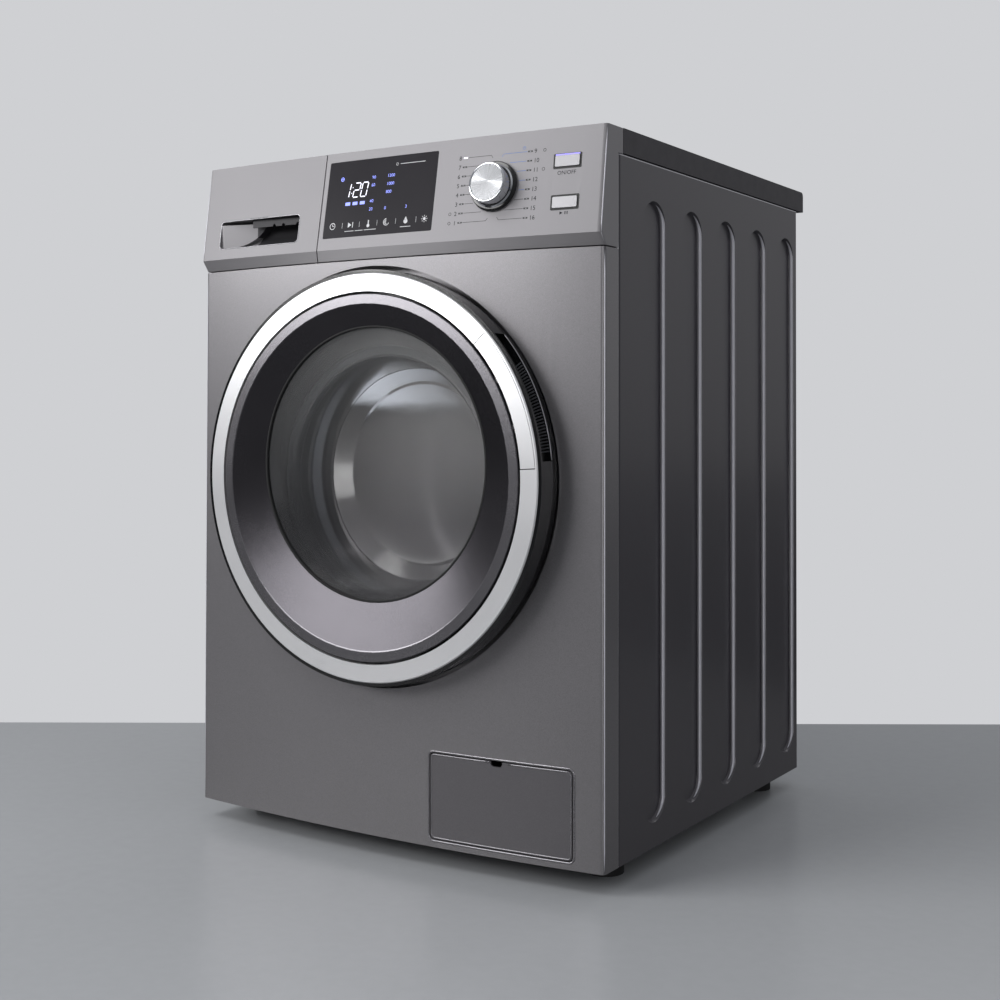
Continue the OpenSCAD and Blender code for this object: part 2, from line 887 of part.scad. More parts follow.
module door_loft(rings) {
    rotate([-90, 0, 0]) looped([for (r = rings) hoop(r[0], r[1], r[2])]);
}

module ring_cut(r0, r1, half_angle, y0, y1) {
    at_latch() intersection() {
        difference() {
            rod_y(r1, y0, y1);
            rod_y(r0, y0 - 1, y1 + 1);
        }
        wedge(half_angle, y0, y1);
    }
}

module hinge_window(y1) {
    block([-door_r - 5, 15 - door_out, axis_z - 58], [hinge_x + 18, y1, axis_z + 58]);
}

// Outer shell: side wall, ledge, finger pocket and pivot ears
module door_shell() {
    face = 3.5 - door_out;
    color(black) placed() difference() {
        union() {
            turned([
                [door_r, face], [door_r, face + 22.5], [door_r - 6, -2], [door_r - 9.5, -2],
                [door_r - 3.8, face + 22], [door_r - 3.8, ledge_y + 3], [pivot_u - 3, ledge_y + 3],
                [pivot_u - 3, ledge_y], [trim_r + 0.2, ledge_y], [trim_r + 0.2, face]
            ]);
            ring_cut(door_r - 15.5, door_r - 3, lever_half, ledge_y, face + 26.5);
            at_latch() for (v = [-32.5, 32.5]) {
                block([pivot_u - 3, pivot_y - 3, v - 2], [pivot_u + 3, ledge_y + 1, v + 2]);
            }
        }
        ring_cut(door_r - 13, door_r + 5, lever_half - 1.6, pivot_y - 2.5, face + 24);
        at_latch() {
            block([pivot_u + 6, ledge_y - 1, -3.5], [pivot_u + 15, face + 30, 3.5]);
            rotate([0, 0, 0]) translate([pivot_u, pivot_y, -40]) cylinder(r = 2 + run, h = 80);
        }
        hinge_window(0);
    }
}

// Bright ring round the door, open where the lever sits
module trim_ring() {
    y = -door_out;
    color(silver) placed() difference() {
        turned([
            [trim_in, y + 0.8], [trim_r - 1.2, y + 2], [trim_r, y + 3.2], [trim_r, ledge_y],
            [trim_r - 2.8, ledge_y], [trim_r - 2.8, y + 6], [trim_in + 2.2, y + 5],
            [trim_in + 2.2, ledge_y], [trim_in, ledge_y]
        ]);
        ring_cut(trim_in - 5, lever_out + 0.1, lever_half + 0.25, y - 1, 0);
        ring_cut(lever_out - 1, trim_r + 1, lever_half - 1.6, y + 7.5, 0);
    }
}

// Dark funnel that runs from the ring down to the glass, deeper at the foot
module door_bezel() {
    y = -door_out;
    up = axis_z + glass_up;
    color(dark_metal) placed() door_loft([
        [y + 3.6, axis_z + 0.6, trim_in - 13], [y + 21.6, up - 0.5, glass_r + 14],
        [y + 21.6, up, glass_r + 1.2], [y + 18.4, up, glass_r + 1.2],
        [y + 17.4, up, glass_r + 2.4], [y + 1.2, axis_z + 0.6, trim_in - 16.2],
        [y, axis_z, trim_in - 14.4],
        [y + 0.4, axis_z, trim_in - 3.6], [y + 1.4, axis_z, trim_in - 2.5],
        [y + 3.6, axis_z, trim_in - 2.5]
    ]);
}

// Bowl of the door: a flange, an upright foot and a rounded bottom
module door_glass() {
    up = axis_z + glass_up;
    y = -door_out;
    t = glass_t;
    color([0.6, 0.65, 0.7, 0.35]) placed() rotate([-90, 0, 0]) stacked([
        for (r = [
            [80, axis_z, bowl_front - 58.5], [76, axis_z, bowl_front - 36.5],
            [60, axis_z, bowl_front - 17.5], [30, axis_z, bowl_front - 9],
            [0, axis_z, bowl_front - 4], [y + 30, up - 3.5, glass_r - 5.5],
            [y + 21.6, up, glass_r], [y + 21.6, up, glass_r + 13.5],
            [y + 21.6 + t, up, glass_r + 13.5], [y + 21.6 + t, up - 1, glass_r + 3.5],
            [y + 33, up - 4, glass_r - 1.5], [2, axis_z, bowl_front - 4 + t],
            [31, axis_z, bowl_front - 9 + t], [62, axis_z, bowl_front - 17.5 + t],
            [79.5, axis_z, bowl_front - 34.5 + t], [80 + t, axis_z, bowl_front - 58.5]
        ]) hoop(r[0], r[1], r[2])
    ]);
}

module door_inner_frame() {
    up = axis_z + glass_up;
    seat = 25.6 + glass_t - 4 - door_out;
    color([0.16, 0.16, 0.17]) placed() difference() {
        union() {
            tube_y(door_r - 7, bowl_front + 11, -2, 1, 0, axis_z);
            tube_y(glass_r + 9.5, glass_r + 5.5, seat, -1, 0, up);
        }
        at_latch() block([pivot_u + 5, -6, -3.5], [door_r - 12, 2, 3.5]);
        hinge_window(2);
    }
}

module knuckle(z0, z1) {
    translate([hinge_x, hinge_y, z0]) cylinder(r = knuckle_r, h = z1 - z0);
}

// Two knuckles on a plate that is screwed to the door's inner frame
module hinge_leaf() {
    color(steel) placed() difference() {
        union() {
            for (s = [-1, 1]) {
                mid = axis_z + s * 30;
                knuckle(mid - 15, mid + 15);
                block([hinge_x, hinge_y + 2, mid - 15], [hinge_x + 20, hinge_y + knuckle_r, mid + 15]);
                block([hinge_x + 16, hinge_y + 2, mid - 15], [hinge_x + 20, -2, mid + 15]);
            }
            block([hinge_x + 16, -5, axis_z - 45], [hinge_x + 46, -2, axis_z + 45]);
        }
        translate([hinge_x, hinge_y, 0]) cylinder(r = hinge_pin_r + run, h = body_h);
        for (z = [-35, 35]) {
            rod_y(2, -20, 0, hinge_x + 36, axis_z + z);
        }
    }
}

// Arm and pin on the cabinet, with a plate behind the recess floor
module hinge_bracket() {
    color(steel) placed() {
        knuckle(axis_z - 12, axis_z + 12);
        translate([hinge_x, hinge_y, axis_z - 46]) cylinder(r = hinge_pin_r, h = 92);
        block([hinge_x - 3, hinge_y, axis_z - 12], [hinge_x + 3, floor_back + 1, axis_z + 12]);
        block([hinge_x - 16, floor_back, axis_z - 45], [hinge_x + 34, floor_back + 3, axis_z + 45]);
    }
}

// Bright handle that tilts out on two pins under the funnel's edge
module handle_lever() {
    y = -door_out;
    color(silver) placed() {
        intersection() {
            turned([
                [trim_in + 0.3, y + 0.8], [lever_out - 0.6, y + 1.9], [lever_out - 0.6, y + 6.5],
                [trim_in + 0.3, y + 6.5]
            ]);
            at_latch() wedge(lever_half, y - 1, 0);
        }
        at_latch() for (s = [-1, 1]) {
            block([pivot_u, y + 7, s * 28 - 2], [pivot_u + 12, pivot_y + 2, s * 28 + 2]);
            block([trim_in + 0.6, y + 6, s * 28 - 2], [pivot_u + 12, y + 7.2, s * 28 + 2]);
            translate([pivot_u, pivot_y, s * 28 - 2]) cylinder(r = 2.8, h = 4);
            translate([pivot_u, pivot_y, s > 0 ? 28 : -34]) cylinder(r = 2, h = 6);
        }
    }
}

module latch_hook() {
    y = 6.5 - door_out;
    color(steel) placed() at_latch() {
        block([pivot_u + 8, y, -2.5], [pivot_u + 12, 22, 2.5]);
        translate([0, 0, -2.5]) linear_extrude(5) polygon([
            [pivot_u + 8.1, 15], [pivot_u + 0.5, 15], [pivot_u + 6, 22], [pivot_u + 8.1, 22]
        ]);
    }
}

module door_lock() {
    y = floor_back;
    color(black) placed() at_latch() difference() {
        union() {
            block([pivot_u - 12, y, -20], [door_r + 2, y + 30, 20]);
            block([pivot_u - 8, y + 30, -14], [door_r - 10, y + 34, 14]);
        }
        block([pivot_u - 2, y - 1, -5], [lever_out + 1, y + 24, 5]);
    }
}

// ---- Tub, drum and drive ----

// Folded rubber gaiter between the throat and the tub, with its sealing lip
module bellows() {
    r = throat_r;
    lip = bowl_front - 0.8;
    y = recess_y;
    color([0.5, 0.5, 0.52]) placed() turned([
        [r, y - 4], [r, y + 13], [r + 6, y + 20], [r + 6, y + 30], [r - 2, y + 36],
        [r + 2, tub_y - 18], [r + 2, tub_y - 2], [throat_r - 2.7, tub_y - 2],
        [throat_r - 2.7, tub_y - 16], [r - 8, tub_y - 22], [r - 8, y + 34], [r + 1, y + 28],
        [r + 1, y + 22], [r - 6, y + 16], [r - 8, y + 12], [lip, y + 8], [lip, y + 6],
        [r - 8, y + 2], [r - 8, y - 4]
    ]);
}

module tub_front() {
    r = tub_r;
    neck = throat_r - 2.7;
    color([0.75, 0.75, 0.77]) placed() turned([
        [neck - 3, tub_y - 14], [neck, tub_y - 14], [neck, tub_y], [r - 6, tub_y],
        [r, tub_y + 6], [r, split_y - 6], [r + 8, split_y - 6], [r + 8, split_y],
        [r - 4, split_y], [r - 4, tub_y + 7.5], [r - 7.5, tub_y + 4], [neck - 3, tub_y + 4]
    ]);
}

module tub_rear() {
    r = tub_r;
    seat = bearing_w;
    color([0.75, 0.75, 0.77]) placed() {
        turned([
            [r - 4, split_y], [r + 8, split_y], [r + 8, split_y + 6], [r, split_y + 6],
            [r, tub_back - 6], [r - 6, tub_back], [hub_r, tub_back], [hub_r, hub_back],
            [bearing_r, hub_back], [bearing_r, hub_back - seat], [shaft_r + 7, hub_back - seat],
            [shaft_r + 7, tub_back + 6 + seat], [bearing_r, tub_back + 6 + seat],
            [bearing_r, tub_back - 5], [r - 7.5, tub_back - 5], [r - 4, tub_back - 8.5]
        ]);
        for (a = [0 : 30 : 330]) {
            translate([0, 0, axis_z]) rotate([0, a + 15, 0])
                block([hub_r - 2, tub_back - 1, -2], [r - 12, tub_back + 14, 2]);
        }
        for (s = [-1, 1]) {
            difference() {
                block([s > 0 ? r - 34 : -spring_x - 8, rail_y[1] + 4, spring_low - 20],
                    [s > 0 ? spring_x + 8 : 34 - r, rail_y[1] + 20, spring_low]);
                rod_y(r - 2, split_y, tub_back, 0, axis_z);
            }
            for (gap = [-1, 1]) {
                difference() {
                    translate([s * damper_high.x, damper_y + gap * damper_gap, damper_high.y])
                        block([-14, -1.5, -12], [14, 1.5, 34]);
                    rod_y(r - 2, split_y, tub_back, 0, axis_z);
                    rod_y(4, split_y, tub_back, s * damper_high.x, damper_high.y);
                }
            }
        }
    }
}

// Rolled drum with a raised star in its back wall
module drum() {
    r = drum_r;
    t = 1.5;
    m = mouth_r;
    y0 = drum_y;
    y1 = drum_back;
    color(steel) placed() difference() {
        turned([
            [m, y0 + 9], [m + 1, y0 + 3], [m + 8, y0], [r - 3, y0 + 15], [r, y0 + 21],
            [r, y1 - 5], [r - 5, y1], [shaft_r - 1, y1], [shaft_r - 1, y1 - t], [r - 5.6, y1 - t],
            [r - t, y1 - 5.6], [r - t, y0 + 21.5], [r - 3.5 - t / 2, y0 + 16.6],
            [m + 8, y0 + 1.6], [m + 2.4, y0 + 4], [m + t, y0 + 9]
        ]);
        for (a = [0 : 60 : 300]) {
            translate([0, y1 - t - 1, axis_z]) rotate([-90, 0, 0]) rotate([0, 0, a + 30])
                translate([r * 0.55, 0, 0]) cylinder(r = 9, h = t + 2, $fn = small_fn);
        }
    }
}

// Three-sided hollow paddles along the drum wall
module drum_lifters() {
    r = drum_r - 1.5;
    y0 = drum_y + 40;
    y1 = drum_back - 30;
    color([0.8, 0.8, 0.82]) placed() translate([0, 0, axis_z]) {
        for (i = [0 : lifter_count - 1]) {
            rotate([0, 90 + i * 360 / lifter_count, 0]) intersection() {
                translate([0, y1, 0]) rotate([90, 0, 0]) linear_extrude(y1 - y0) union() {
                    polygon([
                        [r + 2, -34], [r + 2, 34], [r - 12, 28], [r - 50, 9], [r - 50, -9], [r - 12, -28]
                    ]);
                    translate([r - 50, 0]) circle(9, $fn = small_fn);
                }
                rod_y(r, y0, y1);
            }
        }
    }
}

module drum_spider() {
    color(grey) placed() translate([0, 0, axis_z]) difference() {
        union() {
            rod_y(28, drum_back, tub_back - 6);
            for (i = [0 : 2]) {
                rotate([0, 30 + i * 120, 0]) translate([0, drum_back + 14, 0]) rotate([90, 0, 0])
                    linear_extrude(14) polygon([[0, -24], [drum_r - 16, -10], [drum_r - 16, 10], [0, 24]]);
            }
        }
        rod_y(shaft_r, drum_back - 1, tub_back);
    }
}

module drum_shaft() {
    color(steel) placed() {
        rod_y(shaft_r, drum_back + 3, pulley_y + pulley_w + 4, 0, axis_z);
        rod_y(8, pulley_y + pulley_w + 4, pulley_y + pulley_w + 12, 0, axis_z);
    }
}

module drum_pulley() {
    y = pulley_y;
    web = pulley_r / 2 + 8;
    color(grey) placed() translate([0, 0, axis_z]) difference() {
        union() {
            tube_y(pulley_r, pulley_r - 8, y + 1, y + pulley_w - 3);
            rod_y(26, y, y + pulley_w);
            rod_y(pulley_r - 4, y + 7, y + 11);
            for (a = [0 : 60 : 300]) {
                rotate([0, a, 0]) block([20, y + 4, -3], [pulley_r - 4, y + 14, 3]);
            }
        }
        rod_y(shaft_r, y - 1, y + pulley_w + 1);
        for (a = [30 : 60 : 330]) {
            rotate([0, a, 0]) rod_y(25, y, y + pulley_w, web, 0);
        }
    }
}

module shaft_bearings() {
    color(steel) placed() for (y = [tub_back + 6, hub_back - bearing_w]) {
        difference() {
            rod_y(bearing_r, y, y + bearing_w, 0, axis_z);
            rod_y(shaft_r + run, y - 1, y + bearing_w + 1, 0, axis_z);
            tube_y(bearing_r - 5, shaft_r + 5, y - 1, y + 1.5, 0, axis_z);
            tube_y(bearing_r - 5, shaft_r + 5, y + bearing_w - 1.5, y + bearing_w + 1, 0, axis_z);
        }
    }
}

// Open loop round two circles whose centres lie on the x axis
function belt_loop(r1, r2, reach) =
    let (tip = acos((r1 - r2) / reach))
    concat(
        [for (i = [0 : 40]) let (a = tip + (360 - 2 * tip) * i / 40) [r1 * cos(a), r1 * sin(a)]],
        [for (i = [0 : 16]) let (a = -tip + 2 * tip * i / 16) [reach + r2 * cos(a), r2 * sin(a)]]
    );

module drive_belt() {
    turn = atan2(axis_z - motor_z, motor_x);
    gap = 0.5;
    color(black) placed() translate([0, pulley_y + 15, axis_z]) rotate([0, turn, 0])
        rotate([90, 0, 0]) linear_extrude(12) difference() {
            polygon(belt_loop(pulley_r + gap + belt_t, motor_pulley_r + gap + belt_t, belt_reach));
            polygon(belt_loop(pulley_r + gap, motor_pulley_r + gap, belt_reach));
        }
}

module motor() {
    y0 = hub_back - 172;
    y1 = hub_back - 22;
    color(grey) placed() difference() {
        union() {
            rod_y(motor_r, y0 + 8, y1 - 8, motor_x, motor_z);
            rod_y(motor_r - 8, y0, y1, motor_x, motor_z);
            difference() {
                for (y = [y0 + 14, y1 - 44]) {
                    block([motor_x - 12, y, motor_z], [motor_x + 12, y + 16, axis_z - 150]);
                }
                rod_y(tub_r, 0, side_d, 0, axis_z);
            }
        }
        rod_y(6 + run, y1 - 40, y1 + 1, motor_x, motor_z);
    }
}

module motor_pulley() {
    color(steel) placed() {
        rod_y(6, hub_back - 60, pulley_y + pulley_w, motor_x, motor_z);
        rod_y(motor_pulley_r, pulley_y + 1, pulley_y + pulley_w - 3, motor_x, motor_z);
    }
}

// Concrete crescent bolted to the tub's front wall
module crescent(turn, sweep, y0) {
    inner = throat_r + 12;
    outer = tub_r - 8;
    translate([0, 0, axis_z]) rotate([0, turn, 0]) difference() {
        intersection() {
            tube_y(outer, inner, y0, tub_y);
            wedge(sweep / 2, y0 - 1, tub_y + 1);
        }
        for (a = [-0.35, 0, 0.35]) {
            rotate([0, a * sweep, 0]) rod_y(5, y0 - 1, tub_y + 1, (inner + outer) / 2, 0);
        }
    }
}

module counterweights() {
    color([0.6, 0.59, 0.57]) placed() {
        crescent(90, 150, tub_y - 46);
        crescent(-90, 110, tub_y - 22);
    }
}

// Ring of the spring's wire at a place on its coil, across a direction
function wire_ring(angle, z, along) =
    let (
        out = [cos(angle), sin(angle), 0],
        up = cross(along, out)
    )
    [for (i = [0 : 60 : 300]) spring_coil * out + [0, 0, z] + wire_r * (out * cos(i) + up * sin(i))];

// Coil with a straight end above and below
module spring(low, high, tail) {
    steps = 12;
    total = steps * spring_turns;
    z0 = low + tail;
    tall = high - low - 2 * tail;
    rise = tall / spring_turns / (2 * PI * spring_coil);
    bend = [0, 1, 1] / norm([1, 1]);
    stacked(concat(
        [wire_ring(0, low, [0, 0, 1]), wire_ring(0, z0 - 6, [0, 0, 1]), wire_ring(0, z0, bend)],
        [for (i = [1 : total - 1])
            let (a = 360 * i / steps)
            wire_ring(a, z0 + tall * i / total, [-sin(a), cos(a), rise] / norm([1, rise]))],
        [wire_ring(0, high - tail, bend), wire_ring(0, high - tail + 6, [0, 0, 1]),
            wire_ring(0, high, [0, 0, 1])]
    ));
}

module tub_springs() {
    color(steel) placed() for (s = [-1, 1]) {
        translate([s * spring_x, rail_y[1] + 12, 0]) spring(spring_low, rail_top - 1.5, 46);
    }
}

module at_dampers() {
    for (s = [0, 1]) {
        mirror([s, 0, 0]) translate([damper_low.x, damper_y, damper_low.y])
            rotate([0, damper_lean, 0]) children();
    }
}

module damper_tubes() {
    color(black) placed() at_dampers() difference() {
        union() {
            translate([0, 0, 8]) cylinder(r = 14, h = 102);
            rod_y(10, -14, 14);
            rod_y(4, -damper_gap - 1.5, damper_gap + 1.5);
        }
        translate([0, 0, 20]) cylinder(r = 7 + slip, h = 100);
    }
}

module damper_rods() {
    color(steel) placed() at_dampers() {
        translate([0, 0, 40]) cylinder(r = 7, h = damper_len - 44);
        translate([0, 0, damper_len]) rod_y(10, -14, 14);
        translate([0, 0, damper_len]) rod_y(4, -damper_gap - 1.5, damper_gap + 1.5);
    }
}

// ---- Dryer ----

module dryer_duct() {
    z0 = duct_z;
    z1 = duct_z + duct_h;
    x0 = fan_x - 55;
    x1 = fan_x + 55;
    y0 = tub_y + 6;
    color(steel) placed() difference() {
        union() {
            translate([fan_x, fan_y, z0]) cylinder(r = fan_r + 10, h = duct_h);
            block([x0, y0, z0 + 4], [x1, fan_y - 40, z1 - 4]);
            difference() {
                union() {
                    block([fan_x - 35, y0, axis_z + 120], [fan_x + 35, y0 + 40, z0 + 5]);
                    block([fan_x - 35, tub_back - 66, axis_z + 120], [fan_x + 35, tub_back - 20, z0 + 30]);
                    block([fan_x - 35, fan_y, z0 + 6], [fan_x + 35, tub_back - 20, z0 + 30]);
                }
                rod_y(tub_r, 0, tub_back, 0, axis_z);
            }
        }
        translate([fan_x, fan_y, z0 + 3]) cylinder(r = fan_r + 5, h = duct_h - 6);
        block([x0 + 2, y0 + 2, z0 + 6], [x1 - 2, fan_y - 30, z1 - 6]);
        block([fan_x - 33, y0 + 2, axis_z + 100], [fan_x + 33, y0 + 38, z0 + 8]);
        block([fan_x - 33, tub_back - 64, axis_z + 100], [fan_x + 33, tub_back - 22, z0 + 28]);
        block([fan_x - 33, fan_y + 20, z0 + 8], [fan_x + 33, tub_back - 30, z0 + 28]);
        translate([fan_x, fan_y, z0 + 10]) cylinder(r = 6, h = duct_h);
    }
}

module fan_wheel() {
    z0 = duct_z + 8;
    color(grey) placed() translate([fan_x, fan_y, z0]) {
        difference() {
            cylinder(r = fan_r, h = 3);
            translate([0, 0, -1]) cylinder(r = 4, h = 5);
        }
        difference() {
            translate([0, 0, duct_h - 22]) cylinder(r = fan_r, h = 3);
            translate([0, 0, duct_h - 23]) cylinder(r = fan_r - 14, h = 5);
        }
        for (i = [0 : blade_count - 1]) {
            rotate([0, 0, i * 360 / blade_count]) translate([fan_r - 13, 0, 1]) rotate([0, 0, 35])
                cube([12, 1.5, duct_h - 21]);
        }
        cylinder(r = 4, h = duct_h + 2);
    }
}

module fan_motor() {
    z0 = duct_z + duct_h;
    color(steel) placed() translate([fan_x, fan_y, z0]) difference() {
        union() {
            cylinder(r = 32, h = 16);
            cylinder(r = 40, h = 2);
            cylinder(r = 12, h = 20);
        }
        translate([0, 0, -1]) cylinder(r = 4 + run, h = 12);
    }
}

// ---- Water ----

module inlet_valves() {
    color([0.85, 0.85, 0.8]) placed() for (x = valve_x) {
        difference() {
            union() {
                block([x - 16, side_d - 44, valve_z - 20], [x + 16, side_d, valve_z + 20]);
                rod_y(valve_r, side_d - 1, side_d + 18, x, valve_z);
                translate([x, side_d - 26, valve_z - 40]) cylinder(r = 7, h = 22);
            }
            rod_y(8, side_d - 20, side_d + 19, x, valve_z);
            translate([x, side_d - 26, valve_z - 41]) cylinder(r = 4.5, h = 18);
        }
    }
}

module drain_pump() {
    y0 = surround_back;
    color([0.8, 0.8, 0.8]) placed() difference() {
        union() {
            rod_y(filter_r + 7, y0, y0 + 86, filter_x, filter_z);
            rod_y(24, y0 + 80, y0 + 140, filter_x, filter_z);
            translate([filter_x - 40, y0 + 60, filter_z]) cylinder(r = 13, h = 60);
            block([filter_x - 40, y0 + 47, filter_z - 8], [filter_x, y0 + 73, filter_z + 8]);
            block([filter_x - 12, y0 + 8, base_top], [filter_x + 12, y0 + 24, filter_z - 10]);
        }
        rod_y(filter_r + run, y0 - 1, y0 + 76, filter_x, filter_z);
        translate([filter_x - 40, y0 + 60, filter_z + 10]) cylinder(r = 10, h = 60);
    }
}

// Screwed filter with a grip bar and slotted basket
module pump_filter() {
    y0 = surround_back - 2;
    color([0.2, 0.35, 0.75]) placed() difference() {
        union() {
            rod_y(filter_r, y0 - 1, y0 + 70, filter_x, filter_z);
            rod_y(filter_r + 5, y0 - 8, y0 - 0.4, filter_x, filter_z);
            bar_y([filter_r * 1.7, 9], 4, y0 - 20, y0 - 7, filter_x, filter_z);
        }
        rod_y(filter_r - 3, y0 + 6, y0 + 71, filter_x, filter_z);
        for (a = [0 : 45 : 135]) {
            translate([filter_x, 0, filter_z]) rotate([0, a, 0])
                block([-filter_r - 1, y0 + 14, -5], [filter_r + 1, y0 + 62, 5]);
        }
    }
}

module at_flap_hinge() {
    x0 = flap_x - flap_w / 2;
    x1 = flap_x + flap_w / 2;
    z = flap_z - flap_h / 2 + flap_lift;
    ya = panel_y(x0, z) + flap_deep;
    yb = panel_y(x1, z) + flap_deep;
    translate([x0, ya, z]) rotate([0, 90, atan2(yb - ya, x1 - x0)]) children();
}

flap_len = norm([flap_w, panel_y(flap_x + flap_w / 2, flap_z) - panel_y(flap_x - flap_w / 2, flap_z)]);

// Frame round the service opening, wider behind the panel so that the door can tip
module pump_surround() {
    y1 = surround_back;
    color(black) placed() difference() {
        intersection() {
            front_solid(sheet, under_z, panel_top, y1 + 1);
            difference() {
                flap_shape(flap_rim + 3, flap_r, -door_out, y1);
                flap_shape(flap_rim, flap_r, -door_out - 1, y1 - 2);
            }
        }
        rod_y(filter_r + 1, 0, y1 + 1, filter_x, filter_z);
        at_flap_hinge() translate([0, 0, -8]) cylinder(r = flap_pin_r + run, h = flap_len + 16);
    }
}

// Door over the pump filter: follows the bow, tips out on two end pins
module access_flap() {
    lug = 4.2;
    color(dark_metal) placed() {
        difference() {
            intersection() {
                difference() {
                    front_solid(0, under_z, panel_top, wrap_back);
                    front_solid(wall, under_z - 1, panel_top + 1, wrap_back + 1);
                }
                flap_shape(-flap_gap, flap_r, -door_out, 5);
            }
            bar_y([15, 14], 4, -door_out, 10, flap_x - 3, flap_z + flap_h / 2);
        }
        at_flap_hinge() {
            for (z = [flap_gap + 0.4, flap_len - flap_gap - 8.4]) {
                translate([0, 0, z]) cylinder(r = lug - 1, h = 8);
            }
            translate([0, 0, -flap_rim - 2]) cylinder(r = flap_pin_r, h = 10);
            translate([0, 0, flap_len + flap_rim - 8]) cylinder(r = flap_pin_r, h = 10);
        }
    }
}

module drain_outlet() {
    y = side_d + sheet;
    color(black) placed() difference() {
        union() {
            rod_y(outlet_r + 8, y, y + 3, outlet_x, outlet_z);
            rod_y(outlet_r, y - 18, back_y - 2, outlet_x, outlet_z);
        }
        rod_y(outlet_r - 3, y - 19, back_y, outlet_x, outlet_z);
    }
}

module cord_gland() {
    y = side_d + sheet;
    color(black) placed() difference() {
        union() {
            rod_y(cord_r + 8, y, y + 4, gland_x, gland_z);
            rod_y(cord_r + 4, y - 8, y + 12, gland_x, gland_z);
        }
        rod_y(cord_r, y - 9, y + 13, gland_x, gland_z);
    }
}

// Levelling foot, screwed fully in
module foot(x, y) {
    placed() translate([x, y, 0]) {
        cylinder(r = foot_r, h = pad_h - 3);
        translate([0, 0, pad_h - 3]) cylinder(r1 = foot_r, r2 = foot_r - 6, h = 3);
        translate([0, 0, pad_h - 1]) cylinder(r = 9, h = 7, $fn = 6);
        cylinder(r = stud_r, h = base_top + 3);
    }
}

module foot_front_left() {
    color(black) foot(-foot_x, foot_y[0]);
}

module foot_front_right() {
    color(black) foot(foot_x, foot_y[0]);
}

module foot_rear_left() {
    color(black) foot(-foot_x, foot_y[1]);
}

module foot_rear_right() {
    color(black) foot(foot_x, foot_y[1]);
}

side_panel_left();
side_panel_right();
front_panel();
rear_panel();
rear_cover();
base_frame();
worktop();
top_rails();
control_fascia();
display_window();
indicator_lenses();
knob();
power_button();
start_button();
button_bezels();
drawer_front();
drawer_tray();
drawer_latch();
dispenser_housing();
door_shell();
trim_ring();
door_bezel();
door_glass();
door_inner_frame();
hinge_leaf();
hinge_bracket();
handle_lever();
latch_hook();
door_lock();
bellows();
tub_front();
tub_rear();
drum();
drum_lifters();
drum_spider();
drum_shaft();
drum_pulley();
shaft_bearings();
drive_belt();
motor();
motor_pulley();
counterweights();
tub_springs();
damper_tubes();
damper_rods();
dryer_duct();
fan_wheel();
fan_motor();
inlet_valves();
drain_pump();
pump_filter();
pump_surround();
access_flap();
drain_outlet();
foot_front_left();
foot_front_right();
foot_rear_left();
foot_rear_right();
cord_gland();
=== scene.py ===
import json
import logging
import math
from collections.abc import Iterable, Sequence
from dataclasses import dataclass, field
from enum import Enum

import bmesh
import bpy
from mathutils import Matrix, Vector
from mathutils.bvhtree import BVHTree


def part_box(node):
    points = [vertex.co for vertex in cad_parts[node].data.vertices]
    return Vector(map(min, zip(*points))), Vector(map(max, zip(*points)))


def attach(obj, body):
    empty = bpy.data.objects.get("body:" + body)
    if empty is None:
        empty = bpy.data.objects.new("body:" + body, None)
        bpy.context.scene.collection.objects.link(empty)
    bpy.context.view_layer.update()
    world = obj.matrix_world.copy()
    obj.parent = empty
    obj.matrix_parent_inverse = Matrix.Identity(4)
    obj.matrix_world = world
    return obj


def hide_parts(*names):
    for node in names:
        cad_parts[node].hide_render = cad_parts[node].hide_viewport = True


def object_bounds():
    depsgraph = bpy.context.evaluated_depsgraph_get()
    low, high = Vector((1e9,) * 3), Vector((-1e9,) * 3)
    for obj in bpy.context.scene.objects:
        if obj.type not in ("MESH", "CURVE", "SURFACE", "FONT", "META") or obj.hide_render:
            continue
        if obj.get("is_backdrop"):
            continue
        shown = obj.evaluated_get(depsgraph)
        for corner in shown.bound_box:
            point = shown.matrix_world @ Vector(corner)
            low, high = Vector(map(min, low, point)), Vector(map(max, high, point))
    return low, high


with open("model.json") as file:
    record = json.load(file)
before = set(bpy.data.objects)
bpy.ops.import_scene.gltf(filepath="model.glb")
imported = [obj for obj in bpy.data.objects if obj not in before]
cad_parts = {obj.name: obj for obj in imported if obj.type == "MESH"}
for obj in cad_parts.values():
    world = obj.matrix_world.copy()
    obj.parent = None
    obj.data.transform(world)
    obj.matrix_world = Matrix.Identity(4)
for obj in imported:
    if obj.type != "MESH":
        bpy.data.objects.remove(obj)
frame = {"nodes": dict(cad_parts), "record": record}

MM = 0.001
EDGE_ANGLE = 24.0
LEVEL_EDGE_ANGLE = 9.0
FRONT = Vector((0.0, -1.0, 0.0))
BACK = Vector((0.0, 1.0, 0.0))
LOG = logging.getLogger("washer_dryer")
Pair = tuple[float, float]
Point = tuple[float, float, float]
Colour = tuple[float, float, float, float]
Socket = bpy.types.NodeSocket


class Body(str, Enum):
    """The moving groups that carry the added pieces."""

    CABINET = "cabinet"
    DOOR = "door"
    DRAWER = "drawer"
    SELECTOR = "selector"
    DRUM = "drum_group"
    FLAP = "flap"


def tone(code: str, share: float = 1.0) -> Colour:
    """Turns a hex colour into linear light.

    Args:
        code: Six hex digits, such as "8f8e91".
        share: How much of its light it keeps; above 1 it is paler.

    Returns:
        Red, green, blue and alpha.
    """
    parts = [int(code[i : i + 2], 16) / 255 for i in (0, 2, 4)]
    linear = [p / 12.92 if p < 0.04045 else ((p + 0.055) / 1.055) ** 2.4 for p in parts]
    return (*(min(1.0, p * share) for p in linear), 1.0)


def middle(node: str) -> Vector:
    """Gives the middle of a CAD node's box, in metres."""
    low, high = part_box(node)
    return (low + high) / 2


